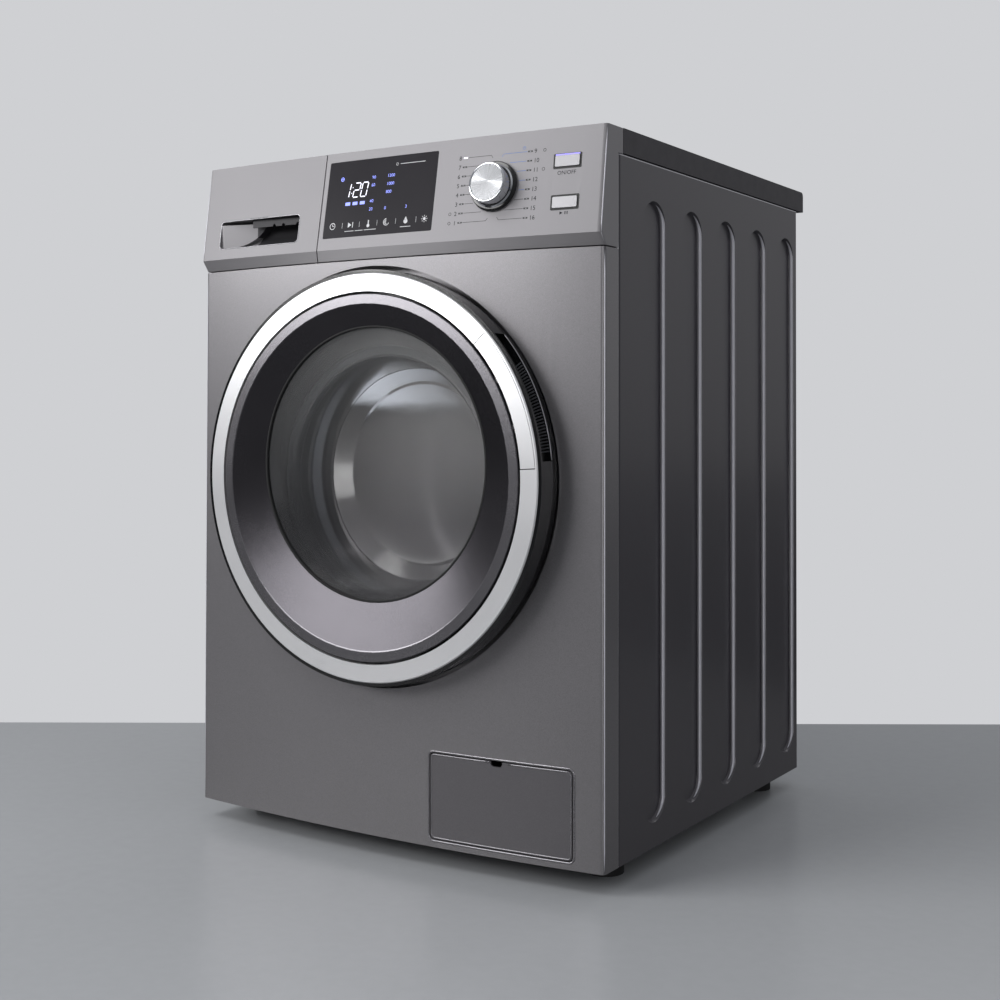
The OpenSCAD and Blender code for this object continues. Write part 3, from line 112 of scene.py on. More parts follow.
class Nodes:
    """Short calls for building one node tree."""

    NUMBERS = {float: "Float", int: "Int"}

    def __init__(self, tree: bpy.types.NodeTree) -> None:
        """Keeps the tree and empties it."""
        self.tree = tree
        tree.nodes.clear()

    @classmethod
    def group(
        cls, name: str, kind: str, inputs: dict[str, float | str], outputs: dict[str, str]
    ) -> tuple["Nodes", bpy.types.Node, bpy.types.Node]:
        """Starts a node group with named inputs and outputs.

        Args:
            name: The group's name.
            kind: Shader or Geometry.
            inputs: The starting value of each number, or the kind of another socket, by name.
            outputs: The kind of each output, by name.

        Returns:
            The group's kit, its input node and its output node.
        """
        tree = bpy.data.node_groups.new(name, kind + "NodeTree")
        for label, start in inputs.items():
            sort = cls.NUMBERS.get(type(start), start)
            made = tree.interface.new_socket(label, in_out="INPUT", socket_type=f"NodeSocket{sort}")
            if sort != start:
                made.default_value = start
        for label, sort in outputs.items():
            tree.interface.new_socket(label, in_out="OUTPUT", socket_type=f"NodeSocket{sort}")
        kit = cls(tree)
        return kit, kit.add("NodeGroupInput"), kit.add("NodeGroupOutput")

    def add(self, kind: str, *terms: object, **settings: object) -> bpy.types.Node:
        """Adds a node.

        Args:
            kind: Blender's name for the node type.
            terms: Sockets or values for its first inputs, with None for one that stays.
            settings: Properties of the node.

        Returns:
            The new node.
        """
        node = self.tree.nodes.new(kind)
        for name, value in settings.items():
            setattr(node, name, value)
        for socket, term in zip(node.inputs, terms):
            self.feed(socket, term)
        return node

    def feed(self, target: Socket, source: object) -> None:
        """Links a socket, sets its value, or leaves it as it is.

        Args:
            target: The input socket.
            source: A socket, a value or None.
        """
        if isinstance(source, Socket):
            self.tree.links.new(source, target)
        elif source is not None:
            target.default_value = source

    def wire(self, node: bpy.types.Node, **sources: object) -> bpy.types.Node:
        """Feeds a node's inputs by name.

        Args:
            node: The node.
            sources: Sockets or values, with underscores for the spaces in the inputs' names.

        Returns:
            The same node.
        """
        for label, source in sources.items():
            self.feed(node.inputs[label.replace("_", " ")], source)
        return node

    def sums(self, work: str, *terms: object) -> Socket:
        """Does one step of arithmetic and gives its result."""
        return self.add("ShaderNodeMath", *terms, operation=work).outputs[0]

    def vector(self, work: str, *terms: object) -> Socket:
        """Does one step of vector arithmetic and gives its vector."""
        return self.add("ShaderNodeVectorMath", *terms, operation=work).outputs[0]

    def split(self, place: Socket) -> list[Socket]:
        """Gives the X, Y and Z of a vector."""
        return list(self.add("ShaderNodeSeparateXYZ", place).outputs)

    def combine(self, *terms: object) -> Socket:
        """Makes a vector of an X, a Y and a Z."""
        return self.add("ShaderNodeCombineXYZ", *terms).outputs[0]

    def noise(self, place: Socket, scale: object, detail: float = 2.0) -> Socket:
        """Adds a noise texture.

        Args:
            place: Where it is read.
            scale: How fine it is.
            detail: How many finer layers it has.

        Returns:
            Its value, from 0 to 1.
        """
        node = self.wire(self.add("ShaderNodeTexNoise"), Vector=place, Scale=scale, Detail=detail)
        return node.outputs["Fac"]

    def blend(self, share: object, low: object, high: object) -> Socket:
        """Mixes two colours.

        Args:
            share: How much of the second colour shows.
            low: The first colour.
            high: The second colour.

        Returns:
            The mixed colour's socket.
        """
        node = self.add("ShaderNodeMix", data_type="RGBA")
        for index, source in ((0, share), (6, low), (7, high)):
            self.feed(node.inputs[index], source)
        return node.outputs[2]

    def span(self, value: Socket, *ends: object) -> Socket:
        """Maps a value from one range to another, with its ends held."""
        return self.add("ShaderNodeMapRange", value, *ends).outputs[0]


class Effects:
    """The surface effects that several finishes share, each built once as a node group."""

    _made: dict[str, bpy.types.NodeTree] = {}

    @classmethod
    def group(cls, name: str) -> bpy.types.NodeTree:
        """Gives a shared group, and builds it the first time.

        Args:
            name: The effect's name, which is also its builder's.

        Returns:
            The node group.
        """
        if name not in cls._made:
            cls._made[name] = getattr(cls, "_" + name)()
        return cls._made[name]

    @staticmethod
    def _open(
        name: str, values: dict[str, float], *given: str
    ) -> tuple[Nodes, bpy.types.Node, bpy.types.Node]:
        """Starts an effect's group, which reads a place and gives numbers.

        Args:
            name: The group's name.
            values: Starting values of its inputs, by name.
            given: Names of its outputs.

        Returns:
            The node kit, the input node and the output node.
        """
        return Nodes.group(name, "Shader", {"Place": "Vector", **values}, dict.fromkeys(given, "Float"))

    @classmethod
    def _grain(cls) -> bpy.types.NodeTree:
        """Builds the fine pebble of moulded plastic and powder, with slow patches under it."""
        kit, source, sink = cls._open("grain", {"Scale": 1500.0, "Patch": 9.0}, "Height", "Shade")
        place = source.outputs["Place"]
        fine = kit.noise(place, source.outputs["Scale"])
        patch = kit.noise(place, source.outputs["Patch"], 4.0)
        mixed = kit.sums("MULTIPLY_ADD", fine, 0.35, kit.sums("MULTIPLY", patch, 0.65))
        kit.wire(sink, Height=fine, Shade=kit.span(mixed, 0.3, 0.7, 0.0, 1.0))
        return kit.tree

    @classmethod
    def _flakes(cls) -> bpy.types.NodeTree:
        """Builds the metal flakes and the faint orange peel of sprayed paint."""
        kit, source, sink = cls._open("flakes", {"Scale": 2600.0, "Peel": 170.0}, "Spark", "Height")
        place = source.outputs["Place"]
        cells = kit.wire(kit.add("ShaderNodeTexVoronoi"), Vector=place, Scale=source.outputs["Scale"])
        spark = kit.add("ShaderNodeSeparateColor", cells.outputs["Color"]).outputs[0]
        kit.wire(sink, Spark=spark, Height=kit.noise(place, source.outputs["Peel"], 1.0))
        return kit.tree

    @classmethod
    def _turning(cls) -> bpy.types.NodeTree:
        """Builds the lines of a face turned or brushed about the machine's front axis."""
        kit, source, sink = cls._open("turning", {"Rays": 60.0, "Rings": 900.0}, "Ray", "Ring")
        x, y, z = kit.split(source.outputs["Place"])
        angle = kit.sums("ARCTAN2", z, x)
        length = kit.add("ShaderNodeVectorMath", kit.combine(x, None, z), operation="LENGTH")
        out = kit.sums("ADD", length.outputs["Value"], y)
        for label, rate, value in (("Ray", "Rays", angle), ("Ring", "Rings", out)):
            lines = kit.add("ShaderNodeTexNoise", noise_dimensions="1D")
            kit.wire(lines, W=kit.sums("MULTIPLY", value, source.outputs[rate]))
            kit.feed(sink.inputs[label], lines.outputs["Fac"])
        return kit.tree

    @classmethod
    def _drawn(cls) -> bpy.types.NodeTree:
        """Builds the long faint lines of rolled or brushed sheet."""
        kit, source, sink = cls._open("drawn", {"Scale": 900.0, "Stretch": 0.02}, "Line")
        stretch = kit.combine(source.outputs["Stretch"], 1.0, 1.0)
        place = kit.vector("MULTIPLY", source.outputs["Place"], stretch)
        kit.wire(sink, Line=kit.noise(place, source.outputs["Scale"], 3.0))
        return kit.tree

    @classmethod
    def _low_blend(cls) -> bpy.types.NodeTree:
        """Builds the mask of a tone blended in low down, fading upward and broken by a noise cloud."""
        kit, source, sink = cls._open("low_blend", {"Low": 0.0, "High": 0.25}, "Mask")
        place = source.outputs["Place"]
        fade = kit.span(kit.split(place)[2], source.outputs["Low"], source.outputs["High"], 1.0, 0.0)
        cloud = kit.noise(place, 14.0, 5.0)
        kit.wire(sink, Mask=kit.sums("MULTIPLY", fade, cloud))
        return kit.tree


class Surface:
    """One material under way: its node kit, its shader and its place socket."""

    def __init__(self, name: str, centre: Point | None = None) -> None:
        """Starts a material whose patterns read the piece's own coordinates.

        Args:
            name: The material's name.
            centre: Where the pattern's own origin lies, if not at the frame's.
        """
        self.material = bpy.data.materials.new(name)
        self.material.use_nodes = True
        self.kit = Nodes(self.material.node_tree)
        self.shader = self.kit.add("ShaderNodeBsdfPrincipled")
        self.kit.wire(self.kit.add("ShaderNodeOutputMaterial"), Surface=self.shader.outputs["BSDF"])
        self.place = self.kit.add("ShaderNodeTexCoord").outputs["Object"]
        if centre is not None:
            mapping = self.kit.add("ShaderNodeMapping")
            self.kit.wire(mapping, Vector=self.place, Location=[-c for c in centre])
            self.place = mapping.outputs[0]

    def effect(self, name: str, **values: float) -> bpy.types.Node:
        """Places a shared effect.

        Args:
            name: The effect's name.
            values: Its inputs, by name.

        Returns:
            The group's node.
        """
        node = self.kit.add("ShaderNodeGroup", node_tree=Effects.group(name))
        return self.kit.wire(node, Place=self.place, **values)

    def zone(self, low: Point, high: Point) -> Socket:
        """Masks the places between two corners.

        Args:
            low: The lower corner.
            high: The upper corner.

        Returns:
            One inside, zero outside.
        """
        mask: Socket | float = 1.0
        for place, least, most in zip(self.kit.split(self.place), low, high):
            above = self.kit.sums("GREATER_THAN", place, least)
            below = self.kit.sums("LESS_THAN", place, most)
            mask = self.kit.sums("MULTIPLY", mask, self.kit.sums("MULTIPLY", above, below))
        return mask

    def set(self, **values: object) -> None:
        """Feeds the shader's sockets, with underscores for the spaces in their names."""
        self.kit.wire(self.shader, **values)

    def roughen(self, pattern: Socket, low: float, high: float) -> None:
        """Spreads the roughness between two values by a pattern from 0 to 1."""
        self.set(Roughness=self.kit.span(pattern, 0.0, 1.0, low, high))

    def bump(self, height: Socket, strength: float, depth: float) -> None:
        """Raises the surface by a height pattern.

        Args:
            height: The pattern.
            strength: How much of it shows, from 0 to 1.
            depth: The pattern's full depth in metres.
        """
        node = self.kit.wire(self.kit.add("ShaderNodeBump"), Strength=strength, Distance=depth, Height=height)
        self.set(Normal=node.outputs[0])


@dataclass(frozen=True)
class Finish:
    """What every finish has: a name and a main tone."""

    name: str
    colour: str

    def material(self) -> bpy.types.Material:
        """Makes the material; each kind of finish has its own way."""
        raise NotImplementedError


@dataclass(frozen=True)
class Paint(Finish):
    """Sprayed metallic or plain sheet-metal paint."""

    spark: str
    metal: float
    rough: float
    clear: float = 0.0
    peel: float = 0.00006
    # bend is the pale tone painted on the bends outside the zone: a painted highlight.
    bend: str = ""
    unhighlighted_zone: tuple[Point, Point] | None = None

    def material(self) -> bpy.types.Material:
        """Builds the paint with its flakes, its orange peel, its bends painted paler as a highlight, and a
        grey tone blended in low down.
        """
        low_blend_share, low_blend_tone = 0.16, tone("6b6863")
        made = Surface(self.name)
        flakes = made.effect("flakes")
        # A grey tone is blended in low down and fades upward.
        low_blend = made.effect("low_blend", Low=0.0, High=0.3)
        base = made.kit.blend(flakes.outputs["Spark"], tone(self.colour), tone(self.spark))
        # Outside the zone the paint takes the pale bend tone: a painted highlight.
        if self.unhighlighted_zone:
            base = made.kit.blend(made.zone(*self.unhighlighted_zone), tone(self.bend), base)
        shade = made.kit.sums("MULTIPLY", low_blend.outputs["Mask"], low_blend_share)
        made.set(Base_Color=made.kit.blend(shade, base, low_blend_tone))
        rough = made.kit.sums("MULTIPLY_ADD", flakes.outputs["Spark"], 0.06, self.rough - 0.03)
        made.set(Roughness=made.kit.sums("ADD", rough, shade), Metallic=self.metal)
        made.set(Coat_Weight=self.clear, Coat_Roughness=0.2)
        made.bump(flakes.outputs["Height"], 0.35, self.peel)
        return made.material


@dataclass(frozen=True)
class Moulding(Finish):
    """Moulded plastic or rubber with a fine pebble."""

    rough: float
    metal: float = 0.0
    grain: float = 1500.0
    depth: float = 0.00004
    mottle: float = 0.08
    clear: float = 0.0
    gleam: float = 0.5

    def material(self) -> bpy.types.Material:
        """Builds the moulding with its pebble and its slow change of tone."""
        made = Surface(self.name)
        grain = made.effect("grain", Scale=self.grain)
        shade = grain.outputs["Shade"]
        darker, paler = tone(self.colour, 1 - self.mottle), tone(self.colour, 1 + self.mottle)
        made.set(Base_Color=made.kit.blend(shade, darker, paler), Metallic=self.metal)
        made.roughen(shade, self.rough - 0.04, self.rough + 0.05)
        made.set(Coat_Weight=self.clear, Coat_Roughness=0.05, Specular_IOR_Level=self.gleam)
        made.bump(grain.outputs["Height"], 0.4, self.depth)
        return made.material


@dataclass(frozen=True)
class Worked(Finish):
    """Bare or plated metal with the lines of how it was worked."""

    rough: float
    lines: float = 900.0
    stretch: float = 0.02
    depth: float = 0.00003
    spread: float = 0.14
    stain: str = "55534f"
    metal: float = 1.0

    def material(self) -> bpy.types.Material:
        """Builds the metal with its drawn lines and a trace of handling."""
        made = Surface(self.name)
        line = made.effect("drawn", Scale=self.lines, Stretch=self.stretch).outputs["Line"]
        grain = made.effect("grain", Scale=320.0, Patch=11.0)
        dull = made.kit.sums("MULTIPLY", grain.outputs["Shade"], 0.12)
        made.set(Base_Color=made.kit.blend(dull, tone(self.colour), tone(self.stain)), Metallic=self.metal)
        low, high = max(0.03, self.rough - self.spread / 2), self.rough + self.spread / 2
        made.set(Roughness=made.kit.span(line, 0.3, 0.7, low, high))
        made.bump(line, 0.5, self.depth)
        return made.material


@dataclass(frozen=True)
class Turned(Finish):
    """A face turned, spun or brushed round the front axis."""

    centre: Point
    rough: float
    metal: float = 1.0
    rays: float = 60.0
    rings: float = 900.0
    ray_share: float = 0.0
    ring_depth: float = 0.00003
    shine: float = 0.0
    clear: float = 0.0

    def material(self) -> bpy.types.Material:
        """Builds the finish with rings and, on a brushed face, a fan of light lines."""
        made = Surface(self.name, self.centre)
        turning = made.effect("turning", Rays=self.rays, Rings=self.rings)
        ring = turning.outputs["Ring"]
        fan = made.kit.span(turning.outputs["Ray"], 0.35, 0.65, 0.0, 1.0)
        darker = tone(self.colour, 1 - self.ray_share)
        made.set(Base_Color=made.kit.blend(fan, darker, tone(self.colour)), Metallic=self.metal)
        made.set(Roughness=made.kit.span(ring, 0.3, 0.7, self.rough - 0.05, self.rough + 0.06))
        made.set(Anisotropic=self.shine, Coat_Weight=self.clear)
        made.bump(ring, 0.5, self.ring_depth)
        return made.material


@dataclass(frozen=True)
class Glazing(Finish):
    """Clear tempered glass with the faint smears of use and a pale diffuse share that paints its soft
    reflection, brightest at the top and darker downwards.
    """

    foot: str
    low: float
    high: float
    haze: float = 0.17
    veil: float = 0.15

    def material(self) -> bpy.types.Material:
        """Builds the glass, with its smears as roughness and its diffuse share as tone: a painted highlight,
        pale at the top and darker towards the foot.
        """
        made = Surface(self.name)
        grain = made.effect("grain", Scale=90.0, Patch=7.0)
        # The tone runs from the darker foot tone low down to the pale colour at the top: a painted highlight.
        rise = made.kit.span(made.kit.split(made.place)[2], self.low, self.high, 0.0, 1.0)
        made.set(Base_Color=made.kit.blend(rise, tone(self.foot), tone(self.colour)))
        # The diffuse share left by the transmission stands in for the glass's soft reflection: a painted
        # reflection.
        made.set(Metallic=0.0, Transmission_Weight=1.0 - self.veil, IOR=1.5)
        made.roughen(grain.outputs["Shade"], self.haze - 0.03, self.haze + 0.03)
        return made.material


@dataclass(frozen=True)
class Mineral(Finish):
    """Cast concrete or pressed board, speckled and matt."""

    speck: str
    rough: float
    depth: float = 0.0004

    def material(self) -> bpy.types.Material:
        """Builds the speckle and the small pits."""
        made = Surface(self.name)
        grain = made.effect("grain", Scale=420.0, Patch=60.0)
        made.set(Base_Color=made.kit.blend(grain.outputs["Shade"], tone(self.colour), tone(self.speck)))
        made.roughen(grain.outputs["Height"], self.rough - 0.1, self.rough + 0.1)
        made.bump(grain.outputs["Height"], 0.6, self.depth)
        return made.material


@dataclass(frozen=True)
class Glow(Finish):
    """A lit lamp, sign or strip behind a thin diffuser."""

    strength: float

    def material(self) -> bpy.types.Material:
        """Builds the light with the slight unevenness of its diffuser."""
        made = Surface(self.name)
        shade = made.effect("grain", Scale=260.0).outputs["Shade"]
        colour, dim = tone(self.colour), tone(self.colour, 0.82)
        made.set(Base_Color=colour, Roughness=0.4)
        made.set(Emission_Color=made.kit.blend(shade, dim, colour), Emission_Strength=self.strength)
        return made.material


@dataclass(frozen=True)
class PaintedLightZone(Finish):
    """A moulding with another tone between two corners, which paints shade in a recess and a highlight on a
    rim.
    """

    inside: str
    low: Point
    high: Point
    rough: float = 0.5
    metal: float = 0.35

    def material(self) -> bpy.types.Material:
        """Builds the moulding and its zone, whose tone is painted light."""
        made = Surface(self.name)
        grain = made.effect("grain", Scale=1900.0)
        shade = grain.outputs["Shade"]
        skin = made.kit.blend(shade, tone(self.colour, 0.94), tone(self.colour))
        zone = made.zone(self.low, self.high)
        # Inside the zone the tone is painted: shade in the drawer's recess, a highlight on the bezel's front
        # band.
        made.set(Base_Color=made.kit.blend(zone, skin, tone(self.inside)), Metallic=self.metal)
        made.roughen(shade, self.rough - 0.04, self.rough + 0.05)
        made.bump(grain.outputs["Height"], 0.4, 0.00004)
        return made.material


@dataclass
class Paintbox:
    """Every finish of the machine, made once and handed out by the record's slot names."""

    made: dict[str, bpy.types.Material] = field(default_factory=dict)

    def finishes(self) -> Iterable[Finish]:
        """Lists the finishes.

        Yields:
            Each finish, under its slot's or its detail's name.
        """
        beyond = 1.0
        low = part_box("door_bezel")[0]
        # The bezel's front band gets the paler tone 7b797d: a painted highlight.
        rim = (-beyond, low.y - 0.001, -beyond), (beyond, low.y + 0.0007, beyond)
        yield PaintedLightZone("dark_trim", "49474b", "7b797d", *rim, rough=0.26, metal=0.85)
        low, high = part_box("drawer_front")
        # The drawer's finger recess gets the dark tone 39383b: painted shade.
        grip_shade_low = (low.x + 0.083, low.y + 0.012, low.z + 0.026)
        grip_shade_high = (high.x - 0.008, low.y + 0.2, low.z + 0.064)
        yield PaintedLightZone("drawer_skin_grip_shade", "979598", "39383b", grip_shade_low, grip_shade_high)
        door, dial = ((middle(node).x, 0.0, middle(node).z) for node in ("trim_ring", "knob"))
        yield Paint("panel_paint", "7d7b7e", "908e91", metal=0.72, rough=0.4, clear=0.3)
        yield Paint("side_paint", "504e53", "5f5d62", metal=0.55, rough=0.46, clear=0.3)
        low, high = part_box("side_panel_left")
        inner = (-beyond, low.y + 0.0013, -beyond), (beyond, beyond, high.z - 0.0012)
        # The side skin's front and top bends, outside the inner zone, take the pale tone c9c8ce: a painted
        # highlight.
        yield Paint(
            "side_skin_bend_highlight", "504e53", "5f5d62", metal=0.55, rough=0.46, clear=0.3, bend="c9c8ce", unhighlighted_zone=inner
        )
        yield Paint("flap_skin", "646266", "737175", metal=0.62, rough=0.43, clear=0.3)
        yield Moulding("fascia_plastic", "979598", rough=0.5, metal=0.35, grain=1900.0, mottle=0.06)
        yield Moulding(
            "bright_trim", "efeff1", rough=0.3, metal=0.55, grain=1900.0, depth=0.000006, mottle=0.015
        )
        yield Turned(
            "black_gloss", "0b0b0d", door, rough=0.12, metal=0.0, rays=0.0, rings=700.0,
            ring_depth=0.00012, clear=0.6,
        )
        yield Moulding("display", "29272c", rough=0.3, grain=2400.0, depth=0.000015, mottle=0.05, gleam=0.12)
        yield Turned(
            "knob_metal", "d4d5d8", dial, rough=0.3, rays=3.2, rings=2600.0, ray_share=0.45,
            ring_depth=0.000006, shine=0.6,
        )
        yield Moulding(
            "key_silver", "a9a8ab", rough=0.34, metal=0.6, grain=2300.0, depth=0.00001, mottle=0.05
        )
        low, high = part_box("door_glass")
        yield Glazing("door_glass", "fdfdfd", "a4a4a7", low=low.z + 0.1, high=high.z - 0.05)
        for name, colour, rough in (
            ("lamp", "131315", 0.3), ("black_plastic", "141416", 0.42), ("white_plastic", "d8d9d6", 0.45),
            ("blue_plastic", "2c62ae", 0.4), ("hole_dark", "101012", 0.6),
        ):
            yield Moulding(name, colour, rough)
        yield Moulding("tub_plastic", "8e9299", rough=0.55, grain=700.0, depth=0.0001, mottle=0.12)
        yield Turned(
            "drum_steel", "9c9a9a", door, rough=0.4, metal=0.9, rays=0.0, rings=420.0, ring_depth=0.000004
        )
        yield Worked(
            "galvanised", "a3a7ab", rough=0.46, lines=240.0, stretch=0.6, depth=0.00001, spread=0.1,
            stain="959a9e", metal=0.5,
        )
        yield Worked("steel_parts", "9a9ca0", rough=0.34, lines=600.0, stretch=0.2)
        yield Worked("cast_alloy", "8d8f92", rough=0.52, lines=260.0, stretch=0.9, depth=0.00012)
        yield Moulding("rubber_grey", "6f7275", rough=0.62, grain=900.0, depth=0.00006, mottle=0.1)
        yield Moulding("rubber_black", "161617", rough=0.7, grain=900.0, depth=0.00008, mottle=0.15)
        yield Mineral("concrete", "8f8d88", "6a6863", rough=0.82)
        yield Mineral("top_board", "3d3b40", "4b494e", rough=0.58, depth=0.00003)
        yield Worked("chrome", "e4e6ea", rough=0.09, lines=1500.0, stretch=0.5, depth=0.000006, spread=0.04)
        yield Moulding("dark_ink", "252329", rough=0.55, depth=0.00001, mottle=0.05, gleam=0.2)
        for name, colour, rough in (
            ("blue_ink", "4c78c8", 0.5), ("pale_ink", "e6e6ea", 0.45), ("lamp_core", "a9a9ae", 0.4)
        ):
            yield Moulding(name, colour, rough, depth=0.00001)
        yield Moulding(
            "gloss_skirt", "09090b", rough=0.16, grain=2400.0, depth=0.00001, mottle=0.05, clear=0.3
        )
        yield Moulding("rib_satin", "6c6d72", rough=0.3, metal=0.4, grain=2300.0, depth=0.00001)
        # The first two lip finishes are far paler than the surfaces their lips run on: painted highlights.
        for name, colour, rough, metal in (
            ("lip_silver_highlight", "b9b8bc", 0.3, 0.75), ("lip_side_highlight", "d9d8df", 0.5, 0.6),
            ("lip_dark", "8d8b8f", 0.26, 0.85),
        ):
            yield Moulding(name, colour, rough, metal, grain=2300.0, depth=0.00001, mottle=0.04)
        for name, colour, strength in (
            ("white_light", "f2f2ff", 1.0), ("blue_light", "8f9bff", 1.0), ("violet_light", "9a92f2", 0.9)
        ):
            yield Glow(name, colour, strength)

    def mix(self) -> None:
        """Makes every finish."""
        for finish in self.finishes():
            self.made[finish.name] = finish.material()

    def __getitem__(self, name: str) -> bpy.types.Material:
        """Gives a finish by name."""
        return self.made[name]

    def dress(self, node: str, finish: str) -> None:
        """Gives a CAD node its finish.

        Args:
            node: The node's name.
            finish: The finish's name.
        """
        slots = frame["nodes"][node].data.materials
        slots.clear()
        slots.append(self.made[finish])


def shown(name: str, data: bpy.types.ID) -> bpy.types.Object:
    """Makes an object and puts it in the scene.

    Args:
        name: The object's name.
        data: Its mesh, curve, lamp or camera.

    Returns:
        The object.
    """
    made = bpy.data.objects.new(name, data)
    bpy.context.scene.collection.objects.link(made)
    return made


def harvest(holder: bpy.types.Object) -> bpy.types.Mesh:
    """Keeps what an object's letters or nodes make, and removes the object.

    Args:
        holder: The object.

    Returns:
        What it made, as a plain mesh.
    """
    bpy.context.view_layer.update()
    depsgraph = bpy.context.evaluated_depsgraph_get()
    mesh = bpy.data.meshes.new_from_object(holder.evaluated_get(depsgraph))
    bpy.data.objects.remove(holder)
    return mesh


def carry(name: str, mesh: bpy.types.Mesh, body: Body) -> bpy.types.Object:
    """Makes a mesh a piece of the machine.

    Args:
        name: The piece's name.
        mesh: The mesh, in metres and in the frame.
        body: The body that it rides on.

    Returns:
        The new piece.
    """
    made = shown(name, mesh)
    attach(made, body.value)
    LOG.info("%s: %d faces on %s", name, len(mesh.polygons), body.value)
    return made


def piece(
    name: str,
    points: Sequence[Point],
    faces: Sequence[Sequence[int]],
    finish: bpy.types.Material,
    body: Body,
) -> bpy.types.Object:
    """Makes a mesh piece that lies where its points say, and lets it ride.

    Args:
        name: The piece's name.
        points: Corners in metres, in the frame.
        faces: Corner numbers of each face.
        finish: Its material.
        body: The body that carries it.

    Returns:
        The new object.
    """
    mesh = bpy.data.meshes.new(name)
    mesh.from_pydata([tuple(p) for p in points], [], [list(f) for f in faces])
    mesh.materials.append(finish)
    mesh.validate()
    mesh.update()
    return carry(name, mesh, body)


def soften(mesh: bpy.types.Mesh, crease: float) -> None:
    """Turns a shell's faces outward and shades it as a curve.

    Args:
        mesh: The shell.
        crease: The bend from which an edge stays sharp, in degrees.
    """
    shell = bmesh.new()
    shell.from_mesh(mesh)
    bmesh.ops.recalc_face_normals(shell, faces=shell.faces)
    for edge in shell.edges:
        edge.smooth = edge.calc_face_angle(0.0) < math.radians(crease)
    for face in shell.faces:
        face.smooth = True
    shell.to_mesh(mesh)
    shell.free()


class Skin:
    """The front surface of one or more CAD nodes, which printed marks are laid on."""

    def __init__(self, *nodes: str) -> None:
        """Gathers the nodes' faces into one search tree."""
        points: list[Vector] = []
        faces: list[list[int]] = []
        for node in nodes:
            mesh = frame["nodes"][node].data
            start = len(points)
            points.extend(v.co.copy() for v in mesh.vertices)
            faces.extend([start + i for i in p.vertices] for p in mesh.polygons)
        self.tree = BVHTree.FromPolygons(points, faces)

    def at(self, x: float, z: float, lift: float = 0.0) -> Vector:
        """Finds the surface from the front.

        Args:
            x: Place along the width, in metres.
            z: Height, in metres.
            lift: How far in front of the surface the point lies.

        Returns:
            The point.
        """
        away = 1.0
        for nudge in (0.0, 0.0004, -0.0004, 0.0009, -0.0009):
            hit = self.tree.ray_cast(Vector((x + nudge, -away, z + nudge)), BACK)[0]
            if hit is not None:
                return Vector((x, hit.y - lift, z))
        raise ValueError(f"nothing to print on at {x:.4f}, {z:.4f}")

    def trace(self, path: Sequence[Pair], lift: float) -> list[Vector]:
        """Lays a path on the surface.

        Args:
            path: Places along the width and the height, in millimetres.
            lift: How far in front of the surface it lies, in metres.

        Returns:
            The points, in metres.
        """
        return [self.at(x * MM, z * MM, lift) for x, z in path]


def rounded_path(low: Pair, high: Pair, r: float) -> list[Pair]:
    """Lists places along a rectangle with round corners, in millimetres.

    Args:
        low: Its lower left corner.
        high: Its upper right corner.
        r: The corners' radius.

    Returns:
        The places, once round without the first again.
    """
    longest = 6.0
    corners = [(high[0] - r, low[1] + r, -90), (high[0] - r, high[1] - r, 0)]
    corners += [(low[0] + r, high[1] - r, 90), (low[0] + r, low[1] + r, 180)]
    arcs: list[list[Pair]] = []
    for x, z, start in corners:
        turns = [math.radians(start + 15 * i) for i in range(7)]
        arcs.append([(x + r * math.cos(t), z + r * math.sin(t)) for t in turns])
    path: list[Pair] = []
    for arc, after in zip(arcs, arcs[1:] + arcs[:1]):
        here, there = arc[-1], after[0]
        count = max(1, round(math.dist(here, there) / longest))
        path += arc
        path += [tuple(a + (b - a) * k / count for a, b in zip(here, there)) for k in range(1, count)]
    return path


def bead(
    name: str,
    path: Sequence[Vector],
    radius: float,
    finish: bpy.types.Material,
    body: Body,
    closed: bool = True,
    taper: int = 0,
) -> bpy.types.Object:
    """Sweeps a thin round bead along a path, with shut ends where it is open.

    Args:
        name: The piece's name.
        path: Middle of the bead, in metres.
        radius: Its radius.
        finish: Its material.
        body: The body that carries it.
        closed: Whether its end joins its start.
        taper: How many places it takes at either end to grow to its radius.

    Returns:
        The new piece.
    """
    sides, count, steep = 8, len(path), 0.9
    points: list[Vector] = []
    for i, here in enumerate(path):
        before = path[i - 1] if closed or i else here
        after = path[(i + 1) % count] if closed or i < count - 1 else here
        along = (after - before).normalized()
        out = FRONT if abs(along.y) < steep else Vector((1.0, 0.0, 0.0))
        out = (out - along * out.dot(along)).normalized()
        side = along.cross(out)
        size = radius * min(1.0, (i + 0.3) / taper, (count - i - 0.7) / taper) if taper else radius
        for k in range(sides):
            t = 2 * math.pi * k / sides
            points.append(here + (out * math.cos(t) + side * math.sin(t)) * size)
    faces = []
    for i in range(count if closed else count - 1):
        a, b = i * sides, (i + 1) % count * sides
        for k in range(sides):
            m = (k + 1) % sides
            faces.append([a + k, b + k, b + m, a + m])
    if not closed:
        faces.append(list(range(sides)))
        faces.append([(count - 1) * sides + k for k in range(sides - 1, -1, -1)])
    made = piece(name, points, faces, finish, body)
    soften(made.data, 180.0)
    return made


